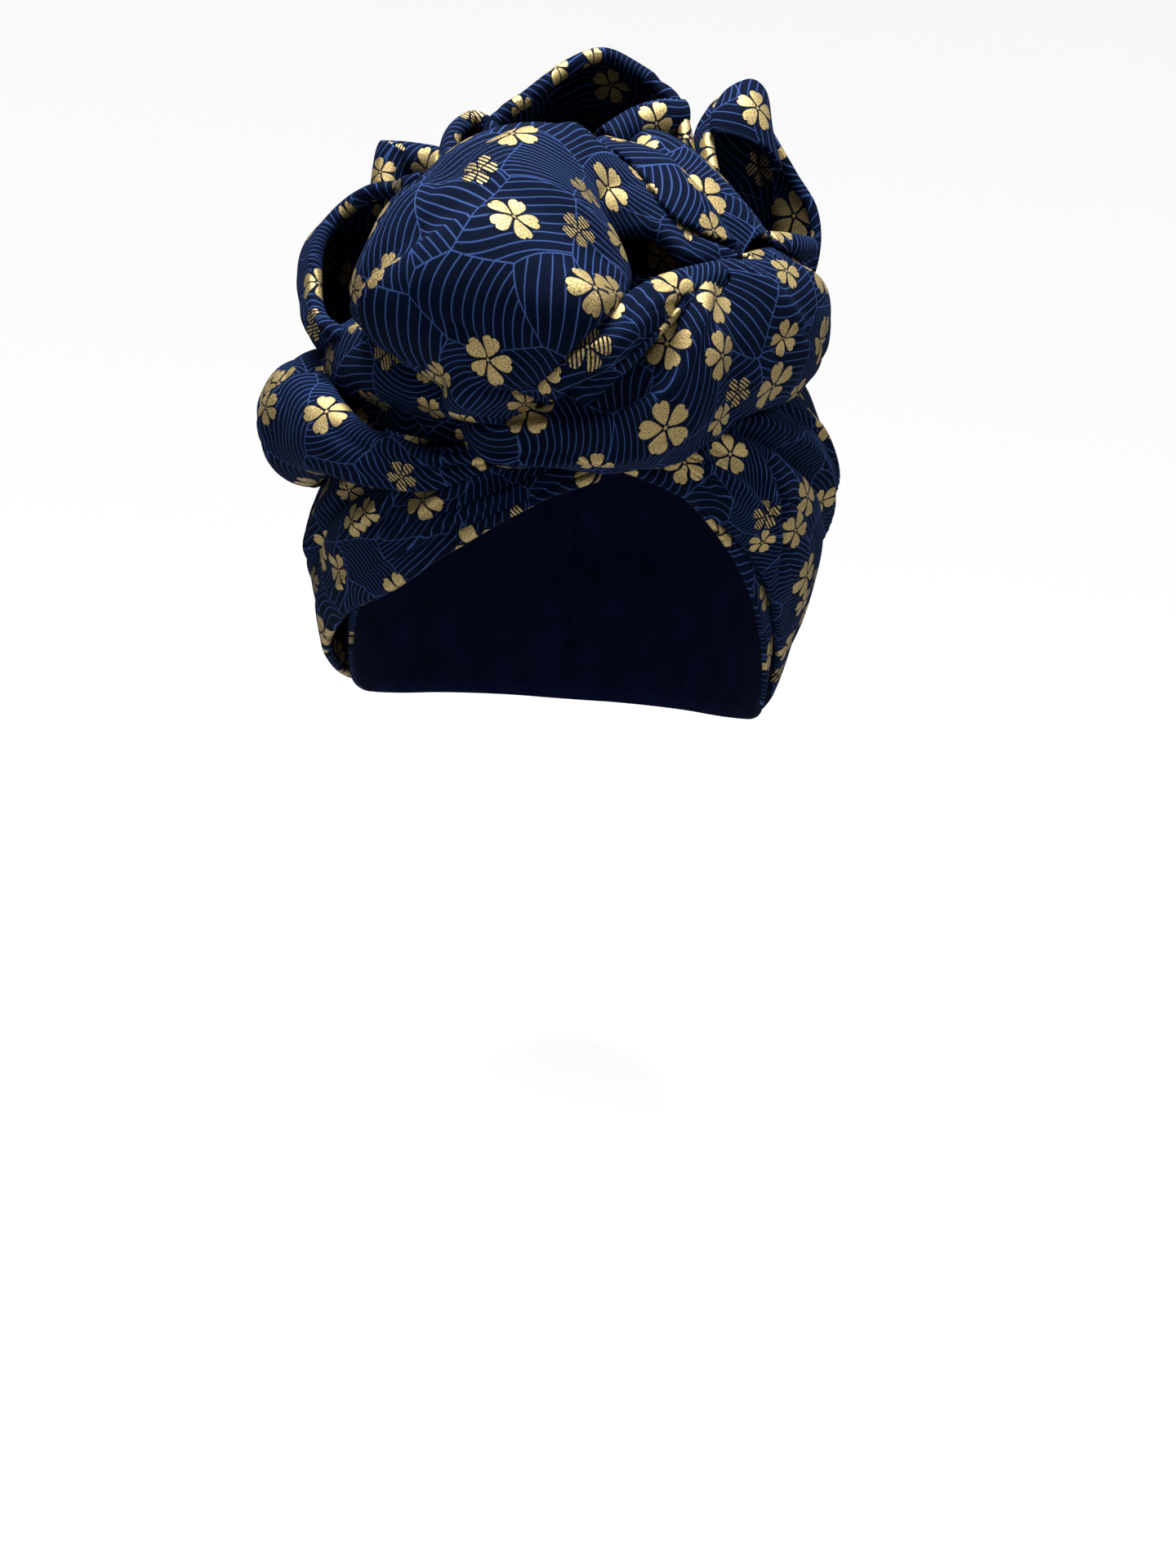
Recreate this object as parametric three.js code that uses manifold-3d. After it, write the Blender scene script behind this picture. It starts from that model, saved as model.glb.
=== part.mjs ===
// A draped turban: a soft cap for the head, two wraps that cross over it from the brow to the nape,
// and a rose of folded cloth over the brow, all cut from one printed cotton.
// Millimetres. +Z is up and the brow faces -Y.
// The origin is where the crown of the head bears on the cap.

import * as THREE from "three";
import Module from "manifold-3d";

const wasm = await Module();
wasm.setup();

// The head that the turban fits: about 57 cm round.
const HEAD_HALF_WIDTH = 78;
const HEAD_HALF_DEPTH = 96;
const CROWN_DEPTH = 100; // from the crown down to where the head is widest
const NAPE_TAPER = 0.1; // how much narrower the head gets a crown's depth below that

// The cloth and how it is laid.
const CLOTH = 2; // a fold of doubled cotton
const LAY_GAP = 0.4; // between one layer and the next
const SIDE_FULLNESS = 22; // how far the folds stand out beside the head
const BROW_FULLNESS = 4; // how far the lowest folds stand out over the brow
const ROSE_HEIGHT = 100; // the height that the rose's places are shares of

// The places of folds are hundredths of these three lengths.
const SPAN = (HEAD_HALF_WIDTH + SIDE_FULLNESS) / 100;
const REACH = (HEAD_HALF_DEPTH + BROW_FULLNESS) / 100;
const RISE = ROSE_HEIGHT / 100;
const DROP = CROWN_DEPTH / 100;
const FULL = (SIDE_FULLNESS + CROWN_DEPTH) / 122;

const PRINT = { color: 0x0b1648, roughness: 0.85, metalness: 0 };

// Curves through the rows of a table

// One column's value at a share u of the way along the table, on a smooth curve through the rows.
function eased(rows, column, u) {
  const last = rows.length - 1;
  const place = u * last;
  const k = Math.min(Math.max(Math.floor(place), 0), last - 1);
  const t = place - k;
  const p1 = rows[k][column];
  const p2 = rows[k + 1][column];
  const p0 = k > 0 ? rows[k - 1][column] : 2 * p1 - p2;
  const p3 = k + 2 <= last ? rows[k + 2][column] : 2 * p2 - p1;
  return 0.5 * (2 * p1 + (p2 - p0) * t + (2 * p0 - 5 * p1 + 4 * p2 - p3) * t ** 2 +
    (3 * (p1 - p2) + p3 - p0) * t ** 3);
}

// A point whose height is above the crown rises with the rose, and one below it drops with the head.
function placed(x, y, z) {
  return new THREE.Vector3(x * SPAN, y * REACH, z > 0 ? z * RISE : z * DROP);
}

// How wide the head is at a height, as a share of its widest.
function girth(z) {
  const below = -z / CROWN_DEPTH - 1;
  return below > 0 ? 1 - NAPE_TAPER * below ** 2 : Math.sqrt(Math.max(1 - below ** 2, 0));
}

// The point out from the head's surface, turned from the brow towards the right, at a height.
function beside(turn, z, out) {
  const angle = THREE.MathUtils.degToRad(turn);
  const share = girth(z);
  const across = (HEAD_HALF_WIDTH * share + out) * Math.sin(angle);
  const along = -(HEAD_HALF_DEPTH * share + out) * Math.cos(angle);
  return new THREE.Vector3(across, along, z);
}

// The point at a share v of the way along the arc from one edge to the other, that stands off by bulge.
function arcPoint(from, to, normal, bulge, v) {
  const chord = from.distanceTo(to);
  const middle = from.clone().lerp(to, 0.5);
  const across = to.clone().sub(from).normalize();
  const radius = (chord ** 2 / 4 + bulge ** 2) / (2 * bulge);
  const angle = 4 * Math.atan2(2 * bulge, chord) * (v - 0.5);
  return middle.addScaledVector(across, radius * Math.sin(angle))
    .addScaledVector(normal, radius * Math.cos(angle) - radius + bulge);
}

// How far the folds of a strip stand off its plain surface at a place on it.
function foldHeight(folds, u, v) {
  let height = 0;
  for (const pleat of folds) {
    const along = (u - pleat.start) / (pleat.end - pleat.start);
    if (along > 0 && along < 1) {
      const line = pleat.from + (pleat.to - pleat.from) * along;
      const aside = (v - line) / pleat.wide;
      height += pleat.high * Math.sin(Math.PI * along) ** 0.7 * Math.exp(-(aside ** 2));
    }
  }
  return height;
}

// Cloth laid round the head, as in { turn, low, lowOut, high, highOut, swell }.
function band(rows, along, across, folds) {
  const point = (u, v) => {
    const at = (column) => eased(rows, column, u);
    const z = THREE.MathUtils.lerp(at("low"), at("high"), v) * DROP;
    const swell = at("swell") * Math.sin(Math.PI * Math.min(Math.max(v, 0), 1));
    return beside(at("turn"), z, (THREE.MathUtils.lerp(at("lowOut"), at("highOut"), v) + swell) * FULL);
  };
  return { point, along, across, folds };
}

// A fold between two edges that bulges between them, as in { fx, fy, fz, tx, ty, tz, bulge }.
function fold(rows, along, across) {
  const edges = (u) => {
    const at = (column) => eased(rows, column, u);
    return [placed(at("fx"), at("fy"), at("fz")), placed(at("tx"), at("ty"), at("tz"))];
  };
  const point = (u, v) => {
    const [from, to] = edges(u);
    const before = edges(u - 0.01);
    const after = edges(u + 0.01);
    const travel = after[0].add(after[1]).sub(before[0]).sub(before[1]);
    const normal = travel.cross(to.clone().sub(from)).normalize();
    return arcPoint(from, to, normal, eased(rows, "bulge", u) * FULL, v);
  };
  return { point, along, across, folds: [] };
}

// A petal from its free edge, over its crest, to its foot,
// as in { fx, fy, fz, cx, cy, cz, tx, ty, tz }.
function petal(rows, along, across) {
  const point = (u, v) => {
    const at = (column) => eased(rows, column, u);
    const from = placed(at("fx"), at("fy"), at("fz"));
    const crest = placed(at("cx"), at("cy"), at("cz"));
    const to = placed(at("tx"), at("ty"), at("tz"));
    const back = from.clone().sub(crest);
    const on = to.clone().sub(crest);
    const turned = Math.PI - back.angleTo(on);
    const chord = from.distanceTo(to);
    const radius = chord / (2 * Math.sin(turned));
    const across = to.clone().sub(from).normalize();
    const normal = back.clone().addScaledVector(across, -back.dot(across)).normalize().negate();
    const angle = 2 * turned * (v - 0.5);
    return from.clone().lerp(to, 0.5).addScaledVector(across, radius * Math.sin(angle))
      .addScaledVector(normal, radius * (Math.cos(angle) - Math.cos(turned)));
  };
  return { point, along, across, folds: [] };
}

// A roll of cloth along its crest, open at the back, as in { x, y, z, wide, yaw, pitch }.
function roll(rows, curl, along, across) {
  const sweep = THREE.MathUtils.degToRad(curl);
  const crest = (u) => placed(eased(rows, "x", u), eased(rows, "y", u), eased(rows, "z", u));
  const point = (u, v) => {
    const travel = crest(u + 0.01).sub(crest(u - 0.01)).normalize();
    const yaw = THREE.MathUtils.degToRad(eased(rows, "yaw", u));
    const pitch = THREE.MathUtils.degToRad(eased(rows, "pitch", u));
    const level = Math.cos(pitch);
    const facing = new THREE.Vector3(Math.sin(yaw) * level, -Math.cos(yaw) * level, Math.sin(pitch));
    facing.addScaledVector(travel, -facing.dot(travel)).normalize();
    const side = new THREE.Vector3().crossVectors(facing, travel);
    const radius = eased(rows, "wide", u) * FULL / 2;
    const angle = sweep * (v - 0.5);
    return crest(u).addScaledVector(side, radius * Math.sin(angle))
      .addScaledVector(facing, radius * Math.cos(angle) - radius);
  };
  return { point, along, across, folds: [] };
}

// Solids

// Even shares from 0 to 1, with one more just past each end where there is an overrun.
function shares(count, overrun) {
  const even = Array.from({ length: count + 1 }, (_, k) => k / count);
  return overrun > 0 ? [-overrun, ...even, 1 + overrun] : even;
}

// The rows of points of a strip, each with the way its cloth faces there.
function grid(piece, overrun = 0) {
  const step = 0.004;
  return shares(piece.along, overrun).map((u) => shares(piece.across, overrun).map((v) => {
    const du = piece.point(u + step, v).sub(piece.point(u - step, v));
    const dv = piece.point(u, v + step).sub(piece.point(u, v - step));
    const facing = du.cross(dv).normalize();
    return { place: piece.point(u, v).addScaledVector(facing, foldHeight(piece.folds, u, v)), facing };
  }));
}

// A point off the cloth, on the side that it faces.
function off(node, height) {
  return node.place.clone().addScaledVector(node.facing, height);
}

// A closed solid from points and triangles, turned so that its faces point out.
function solidFrom(points, triangles) {
  const vertProperties = new Float32Array(points.flatMap((p) => [p.x, p.y, p.z]));
  const build = (list) => new wasm.Manifold(new wasm.Mesh({
    numProp: 3, vertProperties, triVerts: new Uint32Array(list.flat()),
  }));
  const made = build(triangles);
  return made.volume() > 0 ? made : build(triangles.map(([a, b, c]) => [a, c, b]));
}

// A closed skin over rings of points, with a fan over each end.
function skin(rings) {
  const ring = rings[0].length;
  const points = rings.flat();
  const triangles = [];
  for (let i = 0; i < rings.length - 1; i += 1) {
    for (let j = 0; j < ring; j += 1) {
      const a = i * ring + j;
      const b = i * ring + ((j + 1) % ring);
      triangles.push([a, a + ring, b + ring], [a, b + ring, b]);
    }
  }
  for (const end of [0, rings.length - 1]) {
    const middle = points.length;
    points.push(rings[end].reduce((sum, p) => sum.addScaledVector(p, 1 / ring), new THREE.Vector3()));
    for (let j = 0; j < ring; j += 1) {
      const a = end * ring + j;
      const b = end * ring + ((j + 1) % ring);
      triangles.push(end ? [b, a, middle] : [a, b, middle]);
    }
  }
  return solidFrom(points, triangles);
}

// The wall of a strip: one face out, one face in, and the four rims between them.
function wall(piece) {
  const rows = grid(piece);
  const wide = rows[0].length;
  const count = rows.length * wide;
  const nodes = rows.flat();
  const points = [...nodes.map((n) => off(n, CLOTH / 2)), ...nodes.map((n) => off(n, -CLOTH / 2))];
  const triangles = [];
  const quad = (a, b, c, d) => triangles.push([a, b, c], [a, c, d]);
  for (let i = 0; i < rows.length - 1; i += 1) {
    for (let j = 0; j < wide - 1; j += 1) {
      const a = i * wide + j;
      quad(a, a + wide, a + wide + 1, a + 1);
      quad(count + a, count + a + 1, count + a + wide + 1, count + a + wide);
    }
    const start = i * wide;
    const end = start + wide - 1;
    quad(start, count + start, count + start + wide, start + wide);
    quad(end, end + wide, count + end + wide, count + end);
  }
  for (let j = 0; j < wide - 1; j += 1) {
    const far = count - wide + j;
    quad(j, j + 1, count + j + 1, count + j);
    quad(far, count + far, count + far + 1, far + 1);
  }
  return solidFrom(points, triangles);
}

// All that a strip takes up, with the hollow behind it, down to the straight line between its edges.
function room(piece) {
  const reach = CLOTH / 2 + LAY_GAP;
  return skin(grid(piece, 0.02).map((row) => [
    ...row.map((n) => off(n, reach)),
    off(row[row.length - 1], -reach),
    off(row[0], -reach),
  ]));
}

// The largest of the pieces that a cut leaves: cloth that the fold in front hides is trimmed away.
function largest(solid) {
  return solid.decompose().reduce((best, one) => (one.volume() > best.volume() ? one : best));
}

// The cap: a soft bowl of cloth, high over the brow and low at the nape

const CAP_ROWS = [
  { turn: 0, hem: -56 },
  { turn: 25, hem: -64 },
  { turn: 45, hem: -86 },
  { turn: 62, hem: -112 },
  { turn: 74, hem: -136 },
  { turn: 90, hem: -150 },
  { turn: 115, hem: -157 },
  { turn: 150, hem: -161 },
  { turn: 180, hem: -163 },
];
const CAP_ROUND = 30;
const CAP_RINGS = 7;

// How low the hem of the cap is at any turn from the brow, the same on both sides.
function capHem(turn) {
  const away = Math.abs(turn);
  const k = Math.max(CAP_ROWS.findIndex((row) => row.turn >= away), 1);
  const [low, high] = [CAP_ROWS[k - 1], CAP_ROWS[k]];
  const t = (away - low.turn) / (high.turn - low.turn);
  return (low.hem + (high.hem - low.hem) * t * t * (3 - 2 * t)) * DROP;
}

// A point of the cap's inner face pushed out by thick, at a share v of the way up from the hem.
function capPoint(turn, v, thick) {
  const z = capHem(turn) * (1 - Math.cos((Math.PI / 2) * (1 - v)));
  const level = Math.max(1 + z / CROWN_DEPTH, 0);
  return beside(turn, z, thick).setZ(z + thick * level);
}

function capFace(thick) {
  const points = [];
  for (let i = 0; i < CAP_ROUND; i += 1) {
    const turn = (i / CAP_ROUND) * 360 - 180;
    for (let j = 0; j < CAP_RINGS; j += 1) {
      points.push(capPoint(turn, j / CAP_RINGS, thick));
    }
  }
  points.push(new THREE.Vector3(0, 0, thick));
  return points;
}

function capTriangles(shift, inwards) {
  const triangles = [];
  const top = shift + CAP_ROUND * CAP_RINGS;
  for (let i = 0; i < CAP_ROUND; i += 1) {
    const a = shift + i * CAP_RINGS;
    const b = shift + ((i + 1) % CAP_ROUND) * CAP_RINGS;
    for (let j = 0; j < CAP_RINGS - 1; j += 1) {
      triangles.push([a + j, b + j, b + j + 1], [a + j, b + j + 1, a + j + 1]);
    }
    triangles.push([a + CAP_RINGS - 1, b + CAP_RINGS - 1, top]);
  }
  return inwards ? triangles.map(([a, b, c]) => [a, c, b]) : triangles;
}

function capWall() {
  const outer = capFace(CLOTH);
  const count = outer.length;
  const triangles = [...capTriangles(0, false), ...capTriangles(count, true)];
  for (let i = 0; i < CAP_ROUND; i += 1) {
    const a = i * CAP_RINGS;
    const b = ((i + 1) % CAP_ROUND) * CAP_RINGS;
    triangles.push([a, count + a, count + b], [a, count + b, b]);
  }
  return solidFrom([...outer, ...capFace(0)], triangles);
}

// The head and the cap round it, closed across the hem.
function capRoom() {
  const points = capFace(CLOTH + LAY_GAP);
  const triangles = capTriangles(0, false);
  points.push(new THREE.Vector3(0, 0, -CROWN_DEPTH));
  for (let i = 0; i < CAP_ROUND; i += 1) {
    triangles.push([((i + 1) % CAP_ROUND) * CAP_RINGS, i * CAP_RINGS, points.length - 1]);
  }
  return solidFrom(points, triangles);
}

// The wraps: from under the rose, down past the temples and round to the nape

const leftWrap = band([
  { turn: -181, low: -160, lowOut: 4, high: -38, highOut: 7, swell: 3 },
  { turn: -145, low: -158, lowOut: 6, high: -38, highOut: 8, swell: 4 },
  { turn: -115, low: -153, lowOut: 9, high: -42, highOut: 9, swell: 5 },
  { turn: -96, low: -144, lowOut: 11, high: -50, highOut: 11, swell: 4 },
  { turn: -80, low: -131, lowOut: 11, high: -57, highOut: 12, swell: 3 },
  { turn: -61, low: -115, lowOut: 7, high: -62, highOut: 11, swell: 3 },
  { turn: -40, low: -103, lowOut: 4, high: -62, highOut: 9, swell: 2 },
  { turn: -24, low: -89, lowOut: 3.8, high: -59, highOut: 7, swell: 1 },
  { turn: -9, low: -76, lowOut: 3.8, high: -56, highOut: 6, swell: 0.5 },
  { turn: 4, low: -66, lowOut: 3.8, high: -53, highOut: 5, swell: 0 },
  { turn: 17, low: -59, lowOut: 3.8, high: -51, highOut: 4, swell: 0 },
], 22, 5, [
  { start: 0.15, end: 0.62, from: 0.75, to: 0.35, wide: 0.12, high: 3 },
]);

const rightWrap = band([
  { turn: 2, low: -58, lowOut: 6.4, high: -48, highOut: 8, swell: 0.5 },
  { turn: 12, low: -61, lowOut: 6.4, high: -46, highOut: 8, swell: 1 },
  { turn: 22, low: -65, lowOut: 4.6, high: -44, highOut: 9, swell: 2 },
  { turn: 33, low: -71, lowOut: 4, high: -41, highOut: 11, swell: 4 },
  { turn: 45, low: -81, lowOut: 4, high: -38, highOut: 14, swell: 6 },
  { turn: 57, low: -94, lowOut: 4.5, high: -33, highOut: 18, swell: 5 },
  { turn: 70, low: -112, lowOut: 5, high: -28, highOut: 24, swell: 2.5 },
  { turn: 84, low: -132, lowOut: 5, high: -26, highOut: 27, swell: 1 },
  { turn: 98, low: -148, lowOut: 4.5, high: -27, highOut: 25, swell: 2 },
  { turn: 122, low: -156, lowOut: 4.5, high: -32, highOut: 17, swell: 4 },
  { turn: 150, low: -159, lowOut: 5.5, high: -36, highOut: 12, swell: 5 },
  { turn: 176, low: -160, lowOut: 7, high: -38, highOut: 11, swell: 4 },
  { turn: 198, low: -159, lowOut: 8.5, high: -40, highOut: 12, swell: 4 },
], 25, 6, [
  { start: 0.06, end: 0.5, from: 0.75, to: 0.4, wide: 0.1, high: 4 },
  { start: 0.28, end: 0.66, from: 1, to: 0.25, wide: 0.1, high: 3 },
]);

// The band over the brow, which swells into the lobe at the right and goes on round the back.
const browBand = fold([
  { fx: -27, fy: -95, fz: -58, tx: -29, ty: -97, tz: -50, bulge: 2 },
  { fx: -20, fy: -94, fz: -63, tx: -22, ty: -106, tz: -47, bulge: 6 },
  { fx: -6, fy: -95, fz: -63, tx: -8, ty: -110, tz: -44, bulge: 8 },
  { fx: 12, fy: -95, fz: -63, tx: 10, ty: -111, tz: -41, bulge: 9 },
  { fx: 28, fy: -91, fz: -61, tx: 22, ty: -110, tz: -33, bulge: 10 },
  { fx: 38, fy: -86, fz: -54, tx: 31, ty: -106, tz: -18, bulge: 11 },
  { fx: 49, fy: -77, fz: -46, tx: 42, ty: -91, tz: -4, bulge: 13 },
  { fx: 62, fy: -61, fz: -39, tx: 55, ty: -70, tz: 4, bulge: 15 },
  { fx: 71, fy: -41, fz: -34, tx: 64, ty: -47, tz: 8, bulge: 13 },
  { fx: 77, fy: -15, fz: -30, tx: 67, ty: -20, tz: 6, bulge: 11 },
  { fx: 77, fy: 14, fz: -32, tx: 65, ty: 8, tz: -5, bulge: 9 },
  { fx: 64, fy: 44, fz: -36, tx: 54, ty: 36, tz: -12, bulge: 8 },
  { fx: 36, fy: 68, fz: -40, tx: 32, ty: 57, tz: -18, bulge: 7 },
  { fx: 2, fy: 78, fz: -44, tx: 2, ty: 64, tz: -20, bulge: 6 },
], 22, 6);

// The left lobe and the roll that comes out of it and runs in under the band.
const leftRoll = fold([
  { fx: 12, fy: 80, fz: -45, tx: 12, ty: 65, tz: -22, bulge: 6 },
  { fx: -24, fy: 75, fz: -48, tx: -22, ty: 62, tz: -23, bulge: 7 },
  { fx: -56, fy: 52, fz: -54, tx: -50, ty: 45, tz: -24, bulge: 9 },
  { fx: -75, fy: 18, fz: -63, tx: -68, ty: 13, tz: -25, bulge: 12 },
  { fx: -85, fy: -12, fz: -71, tx: -77, ty: -16, tz: -26, bulge: 16 },
  { fx: -88, fy: -36, fz: -74, tx: -82, ty: -42, tz: -31, bulge: 19 },
  { fx: -78, fy: -61, fz: -70, tx: -76, ty: -68, tz: -42, bulge: 15 },
  { fx: -62, fy: -77, fz: -67, tx: -63, ty: -84, tz: -53, bulge: 11 },
  { fx: -48, fy: -85, fz: -67, tx: -49, ty: -92, tz: -59, bulge: 8.5 },
  { fx: -35, fy: -90, fz: -66, tx: -36, ty: -96, tz: -61, bulge: 7 },
  { fx: -22, fy: -93, fz: -64, tx: -23, ty: -97, tz: -59, bulge: 4 },
], 20, 6);

// The layer behind the roll, under the rose's big petal.
const leftFold = fold([
  { fx: -78, fy: -48, fz: -50, tx: -74, ty: -50, tz: -22, bulge: 7 },
  { fx: -68, fy: -66, fz: -56, tx: -66, ty: -66, tz: -22, bulge: 10 },
  { fx: -53, fy: -79, fz: -60, tx: -54, ty: -78, tz: -22, bulge: 13 },
  { fx: -37, fy: -88, fz: -62, tx: -40, ty: -86, tz: -26, bulge: 13 },
  { fx: -24, fy: -93, fz: -60, tx: -26, ty: -90, tz: -30, bulge: 10 },
], 10, 4);

// The rose

// The big petal: its free edge turns round the hollow of the rose, and its foot is tucked in behind.
const bigPetal = petal([
  { fx: -1, fy: -110, fz: -44, cx: -6, cy: -112, cz: -47, tx: -11, ty: -110, tz: -49 },
  { fx: 4, fy: -111, fz: -38, cx: -8, cy: -119, cz: -44, tx: -20, ty: -108, tz: -52 },
  { fx: 9, fy: -110, fz: -31, cx: -12, cy: -129, cz: -42, tx: -33, ty: -101, tz: -50 },
  { fx: 15, fy: -108, fz: -23, cx: -15, cy: -136, cz: -31, tx: -33, ty: -100, tz: -43 },
  { fx: 16, fy: -105, fz: -15, cx: -18, cy: -137, cz: -18, tx: -58, ty: -82, tz: -28 },
  { fx: 14, fy: -102, fz: -9, cx: -15, cy: -125, cz: 4, tx: -49, ty: -73, tz: -24 },
  { fx: 10, fy: -100, fz: -4, cx: -9, cy: -108, cz: 17, tx: -33, ty: -64, tz: -16 },
  { fx: 9, fy: -99, fz: 0, cx: -1, cy: -92, cz: 25, tx: -17, ty: -56, tz: -8 },
  { fx: 20, fy: -98, fz: 3, cx: 20, cy: -92, cz: 12.5, tx: 6, ty: -54, tz: -2 },
  { fx: 32, fy: -100, fz: -2, cx: 33, cy: -92, cz: 4, tx: 30, ty: -62, tz: -4 },
  { fx: 44, fy: -91, fz: -5, cx: 46, cy: -87, cz: 0, tx: 46, ty: -76, tz: -5 },
], 20, 8);

const twistFront = roll([
  { x: -6, y: -124, z: -45, wide: 6, yaw: -5, pitch: -10 },
  { x: -1, y: -129, z: -40, wide: 9, yaw: 0, pitch: 0 },
  { x: 6, y: -130, z: -34, wide: 11.5, yaw: 5, pitch: 5 },
  { x: 13, y: -126, z: -27, wide: 12, yaw: 10, pitch: 20 },
  { x: 20, y: -118, z: -19, wide: 11.5, yaw: 15, pitch: 35 },
  { x: 28, y: -107, z: -12, wide: 10, yaw: 15, pitch: 45 },
  { x: 40, y: -97, z: -6, wide: 7, yaw: 15, pitch: 50 },
], 320, 13, 8);

const twistBehind = roll([
  { x: 4, y: -115, z: -47, wide: 6, yaw: 20, pitch: -20 },
  { x: 10, y: -119, z: -41, wide: 8, yaw: 25, pitch: -10 },
  { x: 15, y: -121, z: -35, wide: 9.5, yaw: 25, pitch: -5 },
  { x: 20, y: -119, z: -28, wide: 9.5, yaw: 25, pitch: 0 },
  { x: 26, y: -112, z: -21, wide: 8, yaw: 25, pitch: 5 },
], 300, 9, 7);

// The two ridges that run from behind the petal down to the right.
const ridgeNear = petal([
  { fx: -2, fy: -82, fz: 20, cx: 6, cy: -70, cz: 31, tx: 8, ty: -50, tz: 12 },
  { fx: 13, fy: -90, fz: 14, cx: 20, cy: -83, cz: 24, tx: 25, ty: -64, tz: 9 },
  { fx: 25, fy: -97, fz: 4, cx: 31, cy: -91, cz: 13, tx: 37, ty: -74, tz: 1 },
  { fx: 35, fy: -95, fz: -5, cx: 40, cy: -90, cz: 4, tx: 45, ty: -77, tz: -6 },
  { fx: 43, fy: -90, fz: -9, cx: 47, cy: -86, cz: 0, tx: 51, ty: -75, tz: -10 },
], 8, 5);

const ridgeFar = petal([
  { fx: 10, fy: -66, fz: 27, cx: 14, cy: -56, cz: 39, tx: 12, ty: -36, tz: 8 },
  { fx: 20, fy: -77, fz: 22, cx: 26, cy: -64, cz: 34, tx: 26, ty: -40, tz: 4 },
  { fx: 31, fy: -82, fz: 13, cx: 37, cy: -70, cz: 25.5, tx: 40, ty: -46, tz: -2 },
  { fx: 39, fy: -82, fz: 5, cx: 45, cy: -74, cz: 15.5, tx: 50, ty: -52, tz: -10 },
  { fx: 46, fy: -80, fz: -5, cx: 51, cy: -75, cz: 6, tx: 56, ty: -58, tz: -18 },
], 8, 5);

// The tall loop behind, open to the front like a hood.
const backLoop = petal([
  { fx: -31, fy: -66, fz: 14, cx: -35, cy: -50, cz: 14, tx: -34, ty: -38, tz: -8 },
  { fx: -30, fy: -60, fz: 36, cx: -33, cy: -41, cz: 30, tx: -34, ty: -22, tz: -2 },
  { fx: -20, fy: -57, fz: 45, cx: -24, cy: -34, cz: 40, tx: -24, ty: -8, tz: 3 },
  { fx: -9, fy: -51, fz: 56, cx: -12, cy: -26, cz: 48, tx: -12, ty: 4, tz: 4 },
  { fx: 3, fy: -46, fz: 62, cx: 0, cy: -21, cz: 52, tx: 0, ty: 10, tz: 4 },
  { fx: 15, fy: -46, fz: 58, cx: 14, cy: -23, cz: 49, tx: 14, ty: 4, tz: 4 },
  { fx: 26, fy: -50, fz: 50, cx: 26, cy: -31, cz: 41, tx: 27, ty: -10, tz: 1 },
  { fx: 31, fy: -57, fz: 36, cx: 35, cy: -40, cz: 28, tx: 36, ty: -24, tz: -3 },
  { fx: 34, fy: -64, fz: 14, cx: 39, cy: -50, cz: 12, tx: 38, ty: -38, tz: -8 },
], 13, 5);

const loopCurl = roll([
  { x: 29, y: -54, z: 46, wide: 8, yaw: 10, pitch: 30 },
  { x: 22, y: -58, z: 45, wide: 9, yaw: 0, pitch: 40 },
  { x: 14, y: -62, z: 41, wide: 9, yaw: 0, pitch: 40 },
  { x: 5, y: -67, z: 34, wide: 8, yaw: 0, pitch: 45 },
], 310, 7, 7);

const leftLoop = petal([
  { fx: -66, fy: -80, fz: -34, cx: -73, cy: -62, cz: -40, tx: -62, ty: -46, tz: -50 },
  { fx: -78, fy: -72, fz: -26, cx: -84, cy: -52, cz: -28, tx: -66, ty: -26, tz: -44 },
  { fx: -84, fy: -60, fz: -14, cx: -90, cy: -38, cz: -14, tx: -66, ty: -10, tz: -42 },
  { fx: -85, fy: -52, fz: -1, cx: -90, cy: -30, cz: 0, tx: -62, ty: 0, tz: -36 },
  { fx: -80, fy: -46, fz: 11, cx: -82, cy: -26, cz: 10, tx: -54, ty: 2, tz: -26 },
  { fx: -70, fy: -50, fz: 17, cx: -69, cy: -30, cz: 15, tx: -46, ty: -4, tz: -17 },
  { fx: -58, fy: -60, fz: 18, cx: -55, cy: -42, cz: 17, tx: -40, ty: -16, tz: -13 },
  { fx: -48, fy: -72, fz: 17, cx: -45, cy: -58, cz: 15, tx: -36, ty: -34, tz: -14 },
], 12, 5);

const leftPeak = petal([
  { fx: -68, fy: -46, fz: 10, cx: -67, cy: -24, cz: 8, tx: -54, ty: 8, tz: -26 },
  { fx: -63, fy: -42, fz: 27, cx: -61, cy: -20, cz: 22, tx: -50, ty: 14, tz: -20 },
  { fx: -53, fy: -43, fz: 33, cx: -51, cy: -19, cz: 28, tx: -42, ty: 16, tz: -13 },
  { fx: -44, fy: -47, fz: 32, cx: -41, cy: -24, cz: 27, tx: -32, ty: 10, tz: -7 },
  { fx: -36, fy: -57, fz: 25, cx: -34, cy: -38, cz: 20, tx: -27, ty: -6, tz: -4 },
], 10, 6);

// The small hood in front of the peak.
const peakHood = petal([
  { fx: -41, fy: -78, fz: 14, cx: -45, cy: -62, cz: 17, tx: -40, ty: -48, tz: -8 },
  { fx: -42, fy: -68, fz: 30, cx: -45, cy: -50, cz: 28, tx: -40, ty: -34, tz: -10 },
  { fx: -38, fy: -60, fz: 38, cx: -39, cy: -42, cz: 34, tx: -36, ty: -24, tz: -8 },
  { fx: -33, fy: -58, fz: 39, cx: -31, cy: -42, cz: 34, tx: -31, ty: -20, tz: -6 },
  { fx: -27, fy: -62, fz: 34, cx: -24, cy: -48, cz: 30, tx: -27, ty: -24, tz: -6 },
  { fx: -26, fy: -70, fz: 26, cx: -22, cy: -58, cz: 22, tx: -24, ty: -40, tz: -8 },
], 9, 5);

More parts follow.
